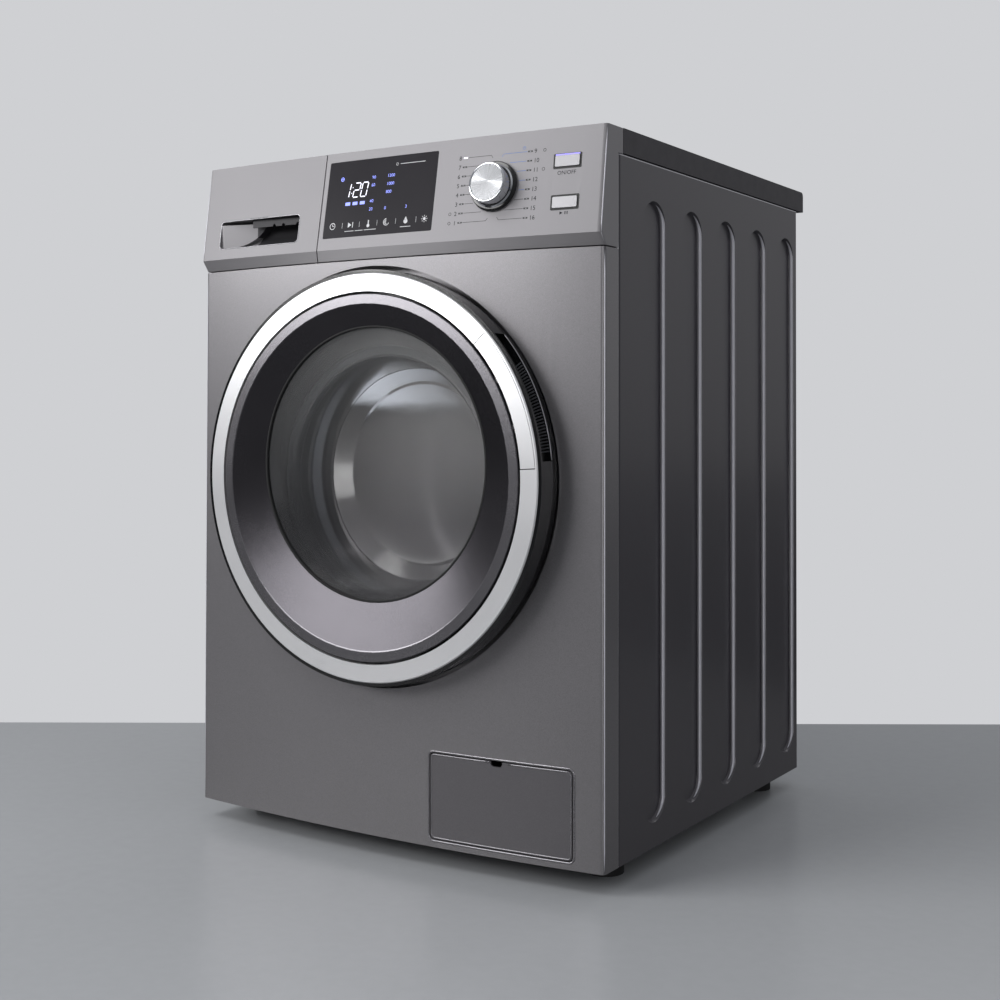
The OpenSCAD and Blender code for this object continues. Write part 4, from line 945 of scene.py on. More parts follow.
def lathe(
    name: str,
    profile: Sequence[Pair],
    centre: Vector,
    axis: Vector,
    finish: bpy.types.Material,
    body: Body,
    closed: bool = False,
) -> bpy.types.Object:
    """Turns a profile about an axis into a smooth closed piece.

    Args:
        name: The piece's name.
        profile: Radius and place along the axis of each corner, in metres.
        centre: The point that places along the axis are counted from.
        axis: The direction that they are counted in, of unit length.
        finish: Its material.
        body: The body that carries it.
        closed: Whether the profile's last corner joins its first.

    Returns:
        The new piece.
    """
    sides, pole = 96, 1e-7
    across = Vector((1.0, 0.0, 0.0)) - axis * axis.x
    across.normalize()
    third = axis.cross(across)
    rings: list[list[int]] = []
    points: list[Vector] = []
    for radius, along in profile:
        count = 1 if radius < pole else sides
        start = len(points)
        for i in range(count):
            t = 2 * math.pi * i / count
            spoke = across * math.cos(t) + third * math.sin(t)
            points.append(centre + axis * along + spoke * radius)
        rings.append([start + i % count for i in range(sides)])
    faces = []
    for low, high in zip(rings, rings[1:] + (rings[:1] if closed else [])):
        for i in range(sides):
            j = (i + 1) % sides
            loop = [low[i], low[j], high[j], high[i]]
            loop = [v for k, v in enumerate(loop) if v != loop[k - 1]]
            if len(loop) > 2:
                faces.append(loop)
    made = piece(name, points, faces, finish, body)
    soften(made.data, 32.0)
    return made


@dataclass
class Print:
    """Flat marks of one ink, gathered and laid on a surface as one thin piece."""

    name: str
    skin: Skin
    finish: bpy.types.Material
    lift: float = 0.00008
    longest: float = 3.0
    points: list[Pair] = field(default_factory=list)
    faces: list[list[int]] = field(default_factory=list)

    def strip(self, path: Sequence[Pair], width: float) -> None:
        """Adds a line of even width that follows the surface.

        Args:
            path: The line's corners, in millimetres.
            width: Its width, in millimetres.
        """
        for (ax, az), (bx, bz) in zip(path, path[1:]):
            length = math.hypot(bx - ax, bz - az)
            count = max(1, round(length / self.longest))
            sx, sz = -(bz - az) / length * width / 2, (bx - ax) / length * width / 2
            start = len(self.points)
            for i in range(count + 1):
                x, z = ax + (bx - ax) * i / count, az + (bz - az) * i / count
                self.points += [(x + sx, z + sz), (x - sx, z - sz)]
            for i in range(count):
                k = start + 2 * i
                self.faces.append([k, k + 1, k + 3, k + 2])

    def level(self, x: float, z: float, half: float, width: float) -> None:
        """Adds a level line, from half its length on either side of a place."""
        self.strip([(x - half, z), (x + half, z)], width)

    def upright(self, x: float, z: float, half: float, width: float) -> None:
        """Adds an upright line, from half its length below a place to as much above it."""
        self.strip([(x, z - half), (x, z + half)], width)

    def arc(self, x: float, z: float, r: float, width: float, start: float = 0, end: float = 360) -> None:
        """Adds a ring or a part of one.

        Args:
            x: Its middle along the width, in millimetres.
            z: Its middle's height.
            r: Its radius.
            width: The line's width.
            start: Where it starts, in degrees.
            end: Where it ends.
        """
        count = max(6, round(abs(end - start) / 20))
        turn = [math.radians(start + (end - start) * i / count) for i in range(count + 1)]
        self.strip([(x + r * math.cos(t), z + r * math.sin(t)) for t in turn], width)

    def disc(self, x: float, z: float, r: float, sides: int = 16) -> None:
        """Adds a filled disc, in millimetres."""
        turn = [2 * math.pi * i / sides for i in range(sides)]
        self.shape([(x + r * math.cos(t), z + r * math.sin(t)) for t in turn])

    def shape(self, corners: Sequence[Pair]) -> None:
        """Adds a filled outline.

        Args:
            corners: Its corners in order, in millimetres.
        """
        start = len(self.points)
        self.points += corners
        self.faces.append(list(range(start, start + len(corners))))

    def words(self, text: str, x: float, z: float, size: float, align: str = "LEFT") -> None:
        """Adds figures or plain switch words.

        Args:
            text: What is printed.
            x: Its left end, middle or right end, in millimetres.
            z: Its base line, in millimetres.
            size: Its letter size, in millimetres.
            align: LEFT, CENTER or RIGHT.
        """
        curve = bpy.data.curves.new("letters", "FONT")
        curve.body, curve.size, curve.align_x, curve.resolution_u = text, size, align, 3
        mesh = harvest(shown("letters", curve))
        start = len(self.points)
        self.points += [(x + v.co.x, z + v.co.y) for v in mesh.vertices]
        self.faces += [[start + i for i in p.vertices] for p in mesh.polygons]
        bpy.data.curves.remove(curve)
        bpy.data.meshes.remove(mesh)

    def lay(self) -> None:
        """Lays the marks on the surface, with every face towards the front."""
        faces = []
        for face in self.faces:
            loop = [self.points[i] for i in face]
            area = sum(a[0] * b[1] - b[0] * a[1] for a, b in zip(loop, loop[1:] + loop[:1]))
            faces.append(face if area > 0 else face[::-1])
        piece(self.name, self.skin.trace(self.points, self.lift), faces, self.finish, Body.CABINET)


class Geometry:
    """A Geometry Nodes tree with named inputs that repeats a small part."""

    def __init__(self, name: str, **inputs: float) -> None:
        """Opens the tree.

        Args:
            name: The tree's name.
            inputs: Starting values of its named inputs.
        """
        given = {"Geometry": "Geometry", **inputs, "Material": "Material"}
        self.kit, self.source, self.sink = Nodes.group(name, "Geometry", given, {"Geometry": "Geometry"})

    def given(self, label: str) -> Socket:
        """Gives the socket of a named input."""
        return self.source.outputs[label]

    def wheel(self, count: Socket, angle: Socket, along: Socket) -> Socket:
        """Makes points round an axis that runs along Y at the height Up, with the radius Reach.

        Args:
            count: How many points there are.
            angle: Each point's angle, in radians.
            along: Its place along the axis.

        Returns:
            The points.
        """
        kit, reach = self.kit, self.given("Reach")
        across = kit.sums("MULTIPLY", kit.sums("COSINE", angle), reach)
        rise = kit.sums("MULTIPLY_ADD", kit.sums("SINE", angle), reach, self.given("Up"))
        points = kit.add("GeometryNodePoints")
        return kit.wire(points, Count=count, Position=kit.combine(across, along, rise)).outputs[0]

    def close(self, points: Socket, part: Socket, turn: Socket) -> None:
        """Sets the part at every point and ends the tree with Realize Instances and Set Material.

        Args:
            points: The points.
            part: The small part.
            turn: How it is turned at each point.
        """
        kit = self.kit
        placed = kit.add("GeometryNodeInstanceOnPoints")
        kit.wire(placed, Points=points, Instance=part, Rotation=turn)
        real = kit.add("GeometryNodeRealizeInstances", placed.outputs[0])
        coat = kit.add("GeometryNodeSetMaterial")
        kit.wire(coat, Geometry=real.outputs[0], Material=self.given("Material"))
        kit.feed(self.sink.inputs[0], coat.outputs[0])

    def grow(
        self,
        name: str,
        finish: bpy.types.Material,
        body: Body,
        points: Sequence[Point] = (),
        aims: Sequence[Point] = (),
        **values: float,
    ) -> bpy.types.Object:
        """Runs the tree and keeps its result as a plain mesh piece.

        Args:
            name: The piece's name.
            finish: Its material.
            body: The body that carries it.
            points: Places that the tree puts its part at, in metres.
            aims: Which way the part points at each place.
            values: Values of the named inputs.

        Returns:
            The new piece.
        """
        mesh = bpy.data.meshes.new(name)
        mesh.from_pydata([tuple(p) for p in points], [], [])
        if aims:
            way = mesh.attributes.new("aim", "FLOAT_VECTOR", "POINT")
            way.data.foreach_set("vector", [c for aim in aims for c in aim])
        holder = shown(name + "_seed", mesh)
        modifier = holder.modifiers.new("grow", "NODES")
        modifier.node_group = tree = self.kit.tree
        named = {s.name: s.identifier for s in tree.interface.items_tree if s.in_out == "INPUT"}
        for label, value in {"Material": finish, **values}.items():
            modifier[named[label]] = value
        grown = harvest(holder)
        grown.name = name
        return carry(name, grown, body)


def screw_tree() -> Geometry:
    """Builds the tree that sets a flanged hexagon screw head at every point, along its aim."""
    geo = Geometry("screw_heads", Radius=0.0042, Height=0.0024, Flange=0.0058)
    kit = geo.kit
    both = kit.add("GeometryNodeJoinGeometry")
    for sides, foot, top, share in ((6, "Radius", 0.88, 1.0), (14, "Flange", 0.86, 0.32)):
        cone = kit.wire(kit.add("GeometryNodeMeshCone"), Vertices=sides, Radius_Bottom=geo.given(foot))
        kit.wire(cone, Radius_Top=kit.sums("MULTIPLY", geo.given(foot), top))
        kit.wire(cone, Depth=kit.sums("MULTIPLY", geo.given("Height"), share))
        kit.feed(both.inputs[0], cone.outputs["Mesh"])
    aim = kit.wire(kit.add("GeometryNodeInputNamedAttribute", data_type="FLOAT_VECTOR"), Name="aim")
    turn = kit.add("FunctionNodeAlignRotationToVector", axis="Z")
    kit.wire(turn, Vector=aim.outputs["Attribute"])
    geo.close(geo.given("Geometry"), both.outputs[0], turn.outputs[0])
    return geo


def rib_tree() -> Geometry:
    """Builds the tree that repeats a small bar round an axis that runs along Y, in a fan."""
    geo = Geometry(
        "rib_fan", Count=18, Start=0.2, Step=0.02, Reach=0.23, Along=0.0, Up=0.45,
        Width=0.002, Depth=0.01, Length=0.01,
    )
    kit = geo.kit
    index = kit.add("GeometryNodeInputIndex").outputs[0]
    angle = kit.sums("MULTIPLY_ADD", index, geo.given("Step"), geo.given("Start"))
    points = geo.wheel(geo.given("Count"), angle, geo.given("Along"))
    size = kit.combine(*(geo.given(label) for label in ("Depth", "Length", "Width")))
    bar = kit.wire(kit.add("GeometryNodeMeshCube"), Size=size)
    geo.close(points, bar.outputs["Mesh"], kit.combine(None, kit.sums("MULTIPLY", angle, -1.0)))
    return geo


def perforation_tree() -> Geometry:
    """Builds the tree that covers the inside of a drum with staggered filled discs in place of holes."""
    geo = Geometry(
        "perforations", Rows=20, Around=90, Reach=0.236, Front=0.0, Pitch=0.015, Up=0.45, Hole=0.0017
    )
    kit, around = geo.kit, geo.given("Around")
    index = kit.add("GeometryNodeInputIndex").outputs[0]
    row = kit.sums("FLOOR", kit.sums("DIVIDE", kit.sums("ADD", index, 0.5), around))
    stagger = kit.sums("MULTIPLY", kit.sums("MODULO", row, 2.0), 0.5)
    turn = kit.sums("DIVIDE", 2 * math.pi, around)
    angle = kit.sums("MULTIPLY", kit.sums("ADD", index, stagger), turn)
    along = kit.sums("MULTIPLY_ADD", row, geo.given("Pitch"), geo.given("Front"))
    points = geo.wheel(kit.sums("MULTIPLY", geo.given("Rows"), around), angle, along)
    hole = kit.add("GeometryNodeMeshCircle", fill_type="NGON")
    kit.wire(hole, Vertices=8, Radius=geo.given("Hole"))
    x, z = (kit.sums("MULTIPLY", kit.sums(work, angle), -1.0) for work in ("COSINE", "SINE"))
    aim = kit.add("FunctionNodeAlignRotationToVector", axis="Z")
    kit.wire(aim, Vector=kit.combine(x, None, z))
    geo.close(points, hole.outputs[0], aim.outputs[0])
    return geo


def smoothing_tree() -> bpy.types.NodeTree:
    """Builds the tree that shades shallow facets as one curve and keeps true edges crisp."""
    shell = {"Geometry": "Geometry"}
    limits = dict.fromkeys(("Edge Angle", "Level Edge Angle"), math.radians(EDGE_ANGLE))
    kit, source, sink = Nodes.group("smooth_shell", "Geometry", shell | limits, shell)
    bare = kit.wire(kit.add("GeometryNodeRemoveAttribute"), Name="custom_normal")
    kit.wire(bare, Geometry=source.outputs["Geometry"])
    joined = kit.wire(kit.add("GeometryNodeMergeByDistance"), Geometry=bare.outputs[0], Distance=0.000004)
    soft = kit.wire(kit.add("GeometryNodeSetShadeSmooth", domain="FACE"), Geometry=joined.outputs[0])
    angle = kit.add("GeometryNodeInputMeshEdgeAngle").outputs["Unsigned Angle"]
    sharp = kit.sums("GREATER_THAN", angle, source.outputs["Edge Angle"])
    ends = kit.add("GeometryNodeInputMeshEdgeVertices")
    run = kit.vector("SUBTRACT", ends.outputs["Position 1"], ends.outputs["Position 2"])
    level = kit.split(kit.vector("ABSOLUTE", kit.vector("NORMALIZE", run)))[0]
    over = kit.sums("GREATER_THAN", angle, source.outputs["Level Edge Angle"])
    both = kit.sums("MULTIPLY", kit.sums("GREATER_THAN", level, 0.96), over)
    crisp = kit.add("GeometryNodeSetShadeSmooth", domain="EDGE")
    kit.wire(crisp, Geometry=soft.outputs[0], Selection=kit.sums("MAXIMUM", sharp, both), Shade_Smooth=False)
    kit.feed(sink.inputs[0], crisp.outputs[0])
    return kit.tree


@dataclass
class Studio:
    """The pale floor, the soft lamps and the camera."""

    eye: Point = (1.04896, -1.67097, 0.52696)
    yaw: float = 32.523
    pitch: float = 1.015
    roll: float = 0.119
    lens: float = 51.876
    shift: Pair = (0.00075, -0.11084)
    floor_depth: float = 2.47
    floor_half: float = 3.4

    def look(self) -> tuple[Vector, Vector, Vector]:
        """Works out how the camera is turned.

        Returns:
            The view's right, up and forward directions.
        """
        yaw, pitch, roll = (math.radians(a) for a in (self.yaw, self.pitch, self.roll))
        ahead = Vector((-math.sin(yaw) * math.cos(pitch), math.cos(yaw) * math.cos(pitch), math.sin(pitch)))
        level = Vector((math.cos(yaw), math.sin(yaw), 0.0))
        above = level.cross(ahead)
        right = level * math.cos(roll) + above * math.sin(roll)
        up = above * math.cos(roll) - level * math.sin(roll)
        return right, up, ahead

    def camera(self) -> None:
        """Sets up the camera."""
        data = bpy.data.cameras.new("view")
        data.lens, data.sensor_width = self.lens, 36.0
        data.shift_x, data.shift_y = self.shift
        data.clip_start = 0.05
        right, up, ahead = self.look()
        turn = Matrix((right, up, -ahead)).transposed().to_4x4()
        made = shown("view", data)
        made.matrix_world = Matrix.Translation(self.eye) @ turn
        bpy.context.scene.camera = made

    def floor(self) -> None:
        """Lays the pale floor, whose far edge runs level behind the machine."""
        ahead = self.look()[2]
        ahead = Vector((ahead.x, ahead.y, 0.0)).normalized()
        across = Vector((-ahead.y, ahead.x, 0.0)) * self.floor_half
        far = Vector((self.eye[0], self.eye[1], 0.0)) + ahead * self.floor_depth
        near = far - ahead * 2 * self.floor_half
        points = [near - across, far - across, far + across, near + across]
        mesh = bpy.data.meshes.new("floor")
        mesh.from_pydata([tuple(p) for p in points], [], [(0, 1, 2, 3)])
        mesh.materials.append(self.floor_finish())
        made = shown("floor", mesh)
        made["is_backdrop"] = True

    @staticmethod
    def floor_finish() -> bpy.types.Material:
        """Makes the floor's smooth pale finish."""
        made = Surface("floor_finish")
        shade = made.effect("grain", Scale=60.0, Patch=1.5).outputs["Shade"]
        seen = made.kit.add("ShaderNodeLightPath").outputs["Is Camera Ray"]
        pale = made.kit.blend(shade, tone("b3b5b8"), tone("b9bbbe"))
        made.set(Base_Color=made.kit.blend(seen, tone("77787a"), pale), Roughness=0.26)
        return made.material

    def world(self) -> None:
        """Makes the even surroundings, plain to the eye and softer as light."""
        world = bpy.data.worlds.new("studio")
        world.use_nodes = True
        kit = Nodes(world.node_tree)
        path = kit.add("ShaderNodeLightPath")
        seen = kit.sums("MAXIMUM", path.outputs["Is Camera Ray"], path.outputs["Is Transmission Ray"])
        height = kit.split(kit.add("ShaderNodeTexCoord").outputs["Generated"])[2]
        rise = kit.span(height, -0.15, 0.75, 0.0, 1.0)
        soft = kit.add("ShaderNodeBackground", kit.blend(rise, tone("3b3c40"), tone("d8dade")), 0.62)
        plain = kit.add("ShaderNodeBackground", tone("cfd0d3"))
        mix = kit.add("ShaderNodeMixShader", seen, soft.outputs[0], plain.outputs[0])
        kit.wire(kit.add("ShaderNodeOutputWorld"), Surface=mix.outputs[0])
        bpy.context.scene.world = world
        bpy.context.scene.view_settings.view_transform = "Standard"

    def lamp(self, name: str, place: Point, target: Point, size: Pair, watts: float) -> None:
        """Hangs one soft lamp.

        Args:
            name: The lamp's name.
            place: Where it hangs.
            target: What it points at.
            size: Its width and height.
            watts: Its power.
        """
        data = bpy.data.lights.new(name, "AREA")
        data.shape, data.energy = "RECTANGLE", watts
        data.size, data.size_y = size
        turn = (Vector(target) - Vector(place)).to_track_quat("-Z", "Y").to_matrix().to_4x4()
        shown(name, data).matrix_world = Matrix.Translation(place) @ turn

    def build(self) -> None:
        """Builds the whole studio."""
        self.camera()
        self.floor()
        self.world()
        self.lamp("key", (-1.9, -2.75, 1.45), (0.0, -0.3, 0.8), (2.9, 0.9), 56.0)
        self.lamp("high", (-0.9, -1.7, 2.5), (0.0, -0.3, 0.4), (1.2, 1.0), 18.0)
        self.lamp("rear", (0.2, 3.0, 2.6), (0.0, 0.33, 0.4), (1.2, 0.8), 10.0)
        self.lamp("side", (1.9, 2.6, 1.3), (0.3, 0.0, 0.6), (2.6, 2.0), 4.5)
        self.lamp("edge", (2.1, -2.7, 0.65), (0.3, 0.0, 0.45), (0.3, 1.5), 13.0)
        self.lamp("inner", (-0.01, -0.09, 0.585), (-0.2, 0.05, 0.55), (0.12, 0.08), 0.8)
        LOG.info("studio: floor, world, lamps and camera")


@dataclass
class ControlPanel:
    """Lamps, figures, leader lines and the lit display of the control panel, in millimetres."""

    paint: Paintbox
    rows: int = 8
    figure: float = 7.2
    figure_gap: float = 5.2
    lead_gap: float = 4.0
    hook: float = 3.2
    line: float = 0.45
    quick_rows: int = 5
    core: Pair = (1.0, 0.8)
    lit_core: Pair = (2.9, 1.7)
    ring: Pair = (1.7, 0.5)
    word_drop: float = 15.0
    sign_drop: float = 11.6
    digit: Pair = (8.6, 17.5)
    digit_gap: float = 3.0
    digit_line: float = 1.35
    slant: float = 0.16

    def __post_init__(self) -> None:
        """Finds the panel's own places."""
        low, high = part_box("indicator_lenses")
        self.left, self.right = low.x / MM + 3.0, high.x / MM - 3.0
        self.low, self.high = low.z / MM + 0.9, high.z / MM - 0.9
        self.dial = middle("knob") / MM
        self.skirt = (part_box("knob")[1].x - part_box("knob")[0].x) / 2 / MM
        low, high = (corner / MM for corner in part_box("display_window"))
        self.screen, self.top = low.x + 3.0, high.z
        self.skin = Skin("control_fascia", "indicator_lenses", "display_window", "button_bezels")

    def ink(self, name: str, finish: str) -> Print:
        """Starts the marks of one finish."""
        return Print(name, self.skin, self.paint[finish])

    def heights(self) -> list[float]:
        """Lists the rows' heights from the top down."""
        step = (self.high - self.low) / (self.rows - 1)
        return [self.high - i * step for i in range(self.rows)]

    def lamps(self) -> None:
        """Puts a pale core in every lamp and lights the first."""
        cores, lit = self.ink("lamp_cores", "lamp_core"), self.ink("lamp_lit", "white_light")
        for row, z in enumerate(self.heights()):
            for x in (self.left, self.right):
                if row == 0 and x == self.left:
                    lit.level(x, z, *self.lit_core)
                else:
                    cores.level(x, z, *self.core)
        cores.lay()
        lit.lay()

    def figures(self) -> None:
        """Numbers the programmes and marks the two keys."""
        ink = self.ink("programme_figures", "dark_ink")
        rings = ((self.right + 18.5, (0, 2)), (self.left - 14.5, (6, 7)))
        for row, z in enumerate(self.heights()):
            base = z - self.figure * 0.35
            ink.words(str(self.rows - row), self.left - self.figure_gap, base, self.figure, "RIGHT")
            ink.words(str(self.rows + 1 + row), self.right + self.figure_gap, base, self.figure)
            for x, marked in rings:
                if row in marked:
                    ink.arc(x, z, *self.ring)
        key = middle("power_button") / MM
        ink.words("ON/OFF", key.x, key.z - self.word_drop, self.figure - 0.8, "CENTER")
        key = middle("start_button") / MM
        z, half = key.z - self.sign_drop, 1.8
        ink.shape([(key.x - 5.2, z - half), (key.x - 1.4, z), (key.x - 5.2, z + half)])
        for x in (1.6, 4.2):
            ink.upright(key.x + x, z, 1.7, 1.1)
        ink.lay()

    def leaders(self) -> None:
        """Draws the fine lines from the lamps to the selector, and the small clock over the quick ones."""
        grey, blue = self.ink("leader_lines", "dark_ink"), self.ink("leader_lines_quick", "blue_ink")
        bend, back, room = 8.4, 2.4, 2.0
        for row, z in enumerate(self.heights()):
            drop = abs(z - self.dial.z)
            for side, x in ((-1, self.left), (1, self.right)):
                ink = blue if side > 0 and row < self.quick_rows else grey
                start = x - side * self.lead_gap
                if row in (0, self.rows - 1):
                    knee = self.dial.x + side * bend
                    fall = -self.hook if row == 0 else self.hook
                    ink.strip([(start, z), (knee, z), (knee - side * back, z + fall)], self.line)
                else:
                    chord = math.sqrt(max(0.0, (self.skirt + room) ** 2 - drop**2))
                    ink.strip([(start, z), (self.dial.x + side * chord, z)], self.line)
        x, z = self.right - 8.0, self.high + 4.6
        blue.arc(x, z, 1.8, 0.4)
        blue.strip([(x, z + 1.3), (x, z)], 0.35)
        blue.strip([(x, z), (x + 1.0, z)], 0.35)
        grey.lay()
        blue.lay()

    def key_light(self) -> None:
        """Lights the upper edge of the power key's frame."""
        key = middle("power_button") / MM
        light = self.ink("power_light", "violet_light")
        light.level(key.x, key.z + 8.1, 15.2, 1.5)
        light.lay()

    def digits(self, ink: Print, text: str, x: float, z: float) -> None:
        """Draws slanted seven-bar digits.

        Args:
            ink: Where they are gathered.
            text: Digits from 0 to 2 and colons.
            x: The left end.
            z: The base line.
        """
        bars = {
            "a": ((0, 2), (1, 2)), "b": ((1, 2), (1, 1)), "c": ((1, 1), (1, 0)), "d": ((0, 0), (1, 0)),
            "e": ((0, 1), (0, 0)), "f": ((0, 2), (0, 1)), "g": ((0, 1), (1, 1)),
        }
        lit = {"0": "abcdef", "1": "bc", "2": "abged"}
        (width, height), gap = self.digit, 0.09
        for letter in text:
            if letter == ":":
                for up in (0.3 * height, 0.7 * height):
                    ink.disc(x + 0.6 + up * self.slant, z + up, 0.7, 8)
                x += 3.4
                continue
            for first, last in (bars[bar] for bar in lit[letter]):
                ends = []
                for (px, pz), (qx, qz) in ((first, last), (last, first)):
                    up = (pz + (qz - pz) * gap) * height / 2
                    ends.append((x + (px + (qx - px) * gap) * width + up * self.slant, z + up))
                ink.strip(ends, self.digit_line)
            x += width + self.digit_gap

    def display(self) -> None:
        """Lights the display's digits, icons and figures."""
        left, top = self.screen, self.top - 3.0
        white = self.ink("display_digits", "white_light")
        self.digits(white, "1:20", left + 25.5, top - 46.5)
        white.lay()
        blue = self.ink("display_marks", "blue_light")
        blue.arc(left + 22.0, top - 22.6, 2.3, 0.8)
        blue.disc(left + 22.0, top - 22.6, 1.0)
        for i in range(3):
            blue.level(left + 34.3 + 11.2 * i, top - 54.4, 3.7, 4.0)
        columns = {
            68.0: ((23.7, "90"), (33.3, "60"), (53.1, "40"), (63.1, "20")),
            91.0: ((23.5, "1200"), (33.5, "1000"), (43.5, "800"), (63.4, "0")),
            122.0: ((63.8, "3"),),
        }
        for x, marks in columns.items():
            for down, mark in marks:
                blue.words(mark, left + x, top - down - 2.0, 5.6)
        blue.lay()

    def touch_keys(self) -> None:
        """Draws the row of pale touch-key signs along the display's foot."""
        left, z = self.screen, self.top - 84.0
        pale = self.ink("touch_signs", "pale_ink")
        for x in (29.4, 56.0, 82.8, 110.4, 140.0):
            pale.upright(left + x, z, 3.4, 0.4)
        clock, skip, heat, spin, drop, lamp = (left + x for x in (14.0, 42.5, 69.5, 96.5, 125.0, 152.0))
        pale.arc(clock, z, 3.9, 0.9)
        pale.strip([(clock, z + 2.7), (clock, z), (clock + 2.2, z)], 0.8)
        pale.shape([(skip - 4.2, z - 3.4), (skip + 1.0, z), (skip - 4.2, z + 3.4)])
        pale.upright(skip + 3.0, z, 3.4, 1.1)
        pale.upright(heat, z + 1.4, 2.8, 1.7)
        pale.disc(heat, z - 2.6, 2.2)
        for r, turn in ((4.0, 250), (2.4, 200), (1.0, 160)):
            pale.arc(spin, z, r, 0.85, 90, 90 + turn)
        pale.disc(drop, z - 1.0, 2.9)
        pale.shape([(drop - 2.5, z + 0.4), (drop + 2.5, z + 0.4), (drop, z + 4.7)])
        pale.disc(lamp, z, 1.9)
        for i in range(8):
            t = math.radians(45 * i)
            pale.strip([(lamp + r * math.cos(t), z + r * math.sin(t)) for r in (2.8, 4.4)], 0.7)
        for x, length in ((34.0, 14.0), (50.0, 12.0), (64.0, 18.0), (118.0, 15.0)):
            pale.strip([(left + x, z - 7.6), (left + x + length, z - 7.6)], 0.7)
        head = self.top - 13.6
        pale.arc(left + 104.0, head, 1.5, 0.45)
        pale.level(left + 127.0, head, 18.0, 0.7)
        pale.lay()

    def build(self) -> None:
        """Builds the panel's marks."""
        for make in (self.lamps, self.figures, self.leaders, self.key_light, self.display, self.touch_keys):
            make()


@dataclass
class Selector:
    """The programme selector: brushed face, plated barrel and black skirt."""

    paint: Paintbox
    face_r: float = 0.0226
    skirt_h: float = 0.0042
    room: float = 0.004

    def build(self) -> None:
        """Turns the three parts about the panel's own normal."""
        low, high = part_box("knob")
        centre, skin = middle("knob"), Skin("control_fascia")
        reach = (high.x - low.x) / 2
        span = reach + self.room
        right, left = (skin.at(centre.x + step, centre.z) for step in (span, -span))
        upper, lower = (skin.at(centre.x, centre.z + step) for step in (span, -span))
        out = (right - left).cross(upper - lower).normalized()
        seat = (right + left) / 2
        depth = (seat.y - low.y) - reach * 0.07
        r, foot = self.face_r, self.skirt_h
        skirt = [
            (0.0, 0.001), (reach - 0.0012, 0.001), (reach - 0.0002, 0.0018), (reach - 0.0004, foot - 0.0006),
            (reach - 0.0016, foot), (r + 0.001, foot + 0.0004), (0.0, foot + 0.0004),
        ]
        made = lathe("selector_skirt", skirt, seat, out, self.paint["gloss_skirt"], Body.SELECTOR)
        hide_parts("knob")
        barrel = [
            (0.0, foot), (r + 0.0034, foot), (r + 0.0034, foot + 0.0008), (r + 0.0020, foot + 0.0026),
            (r + 0.0012, depth - 0.0042), (r + 0.0012, depth - 0.0016), (r + 0.0006, depth - 0.0004),
            (r - 0.0002, depth), (r - 0.0014, depth - 0.0001), (r - 0.0018, depth - 0.0006),
            (0.0, depth - 0.0006),
        ]
        made = lathe("selector_barrel", barrel, seat, out, self.paint["chrome"], Body.SELECTOR)
        rim, back = r - 0.0019, depth - 0.0007
        face = [(0.0, back), (rim, back), (rim, depth - 0.0004), (0.0, depth - 0.0002)]
        made = lathe("selector_face", face, seat, out, self.paint["knob_metal"], Body.SELECTOR)


@dataclass
class Door:
    """The door's fine details: pocket ribs, the pocket rim's painted highlight line, the dark seal line, and
    the screws of its back.
    """

    paint: Paintbox
    ribs: Geometry
    screws: Geometry
    latch: float = 23.85
    pocket_half: float = 18.2
    screw_ring: float = 0.222
    screw_count: int = 10

    def pocket(self) -> None:
        """Grows the fine ribs on the wall of the finger pocket, and runs its rim in a pale finish that paints
        its highlight.
        """
        low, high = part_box("door_shell")
        hub = middle("trim_ring")
        reach, front = high.x - hub.x, low.y
        made = self.ribs.grow(
            "pocket_ribs", self.paint["rib_satin"], Body.DOOR, Count=30, Start=math.radians(8.0),
            Step=math.radians(0.86), Reach=reach - 0.0066, Along=front + 0.0235, Up=hub.z,
            Width=0.0014, Depth=0.0095, Length=0.0022,
        )
        far, steps = reach - 0.0002, 24
        turns = [self.latch + self.pocket_half * (2 * i / steps - 1) for i in range(steps + 1)]
        rays = [(math.cos(math.radians(t)), math.sin(math.radians(t))) for t in turns]
        path = [Vector((hub.x + far * x, front + 0.0238, hub.z + far * z)) for x, z in rays]
        # The rim's silver finish is a painted highlight.
        made = bead("pocket_rim", path, 0.0007, self.paint["lip_silver_highlight"], Body.DOOR, closed=False)

    def glass_seal(self) -> None:
        """Turns the thin black seal that lines the funnel's foot round the glass."""
        low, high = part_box("door_glass")
        seat = (low + high) / 2
        seat.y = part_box("door_bezel")[0].y
        r = (high.x - low.x) / 2 - 0.0135
        profile = [(r - 0.0008, 0.0216), (r - 0.0008, 0.0180), (r + 0.0002, 0.0172)]
        profile += [(r + 0.0018, 0.0174), (r + 0.0018, 0.0180), (r + 0.0010, 0.0216)]
        made = lathe("glass_seal", profile, seat, BACK, self.paint["rubber_black"], Body.DOOR, closed=True)

    def back_screws(self) -> None:
        """Sets the screws that hold the door's inner frame."""
        back, hub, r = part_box("door_inner_frame")[1].y, middle("trim_ring"), self.screw_ring
        turns = [math.radians(9 + 360 * i / self.screw_count) for i in range(self.screw_count)]
        places = [(hub.x + r * math.cos(t), back + 0.0004, hub.z + r * math.sin(t)) for t in turns]
        aims = [tuple(BACK)] * len(places)
        made = self.screws.grow("door_back_screws", self.paint["steel_parts"], Body.DOOR, places, aims)

    def build(self) -> None:
        """Builds the door's details."""
        self.pocket()
        self.glass_seal()
        self.back_screws()


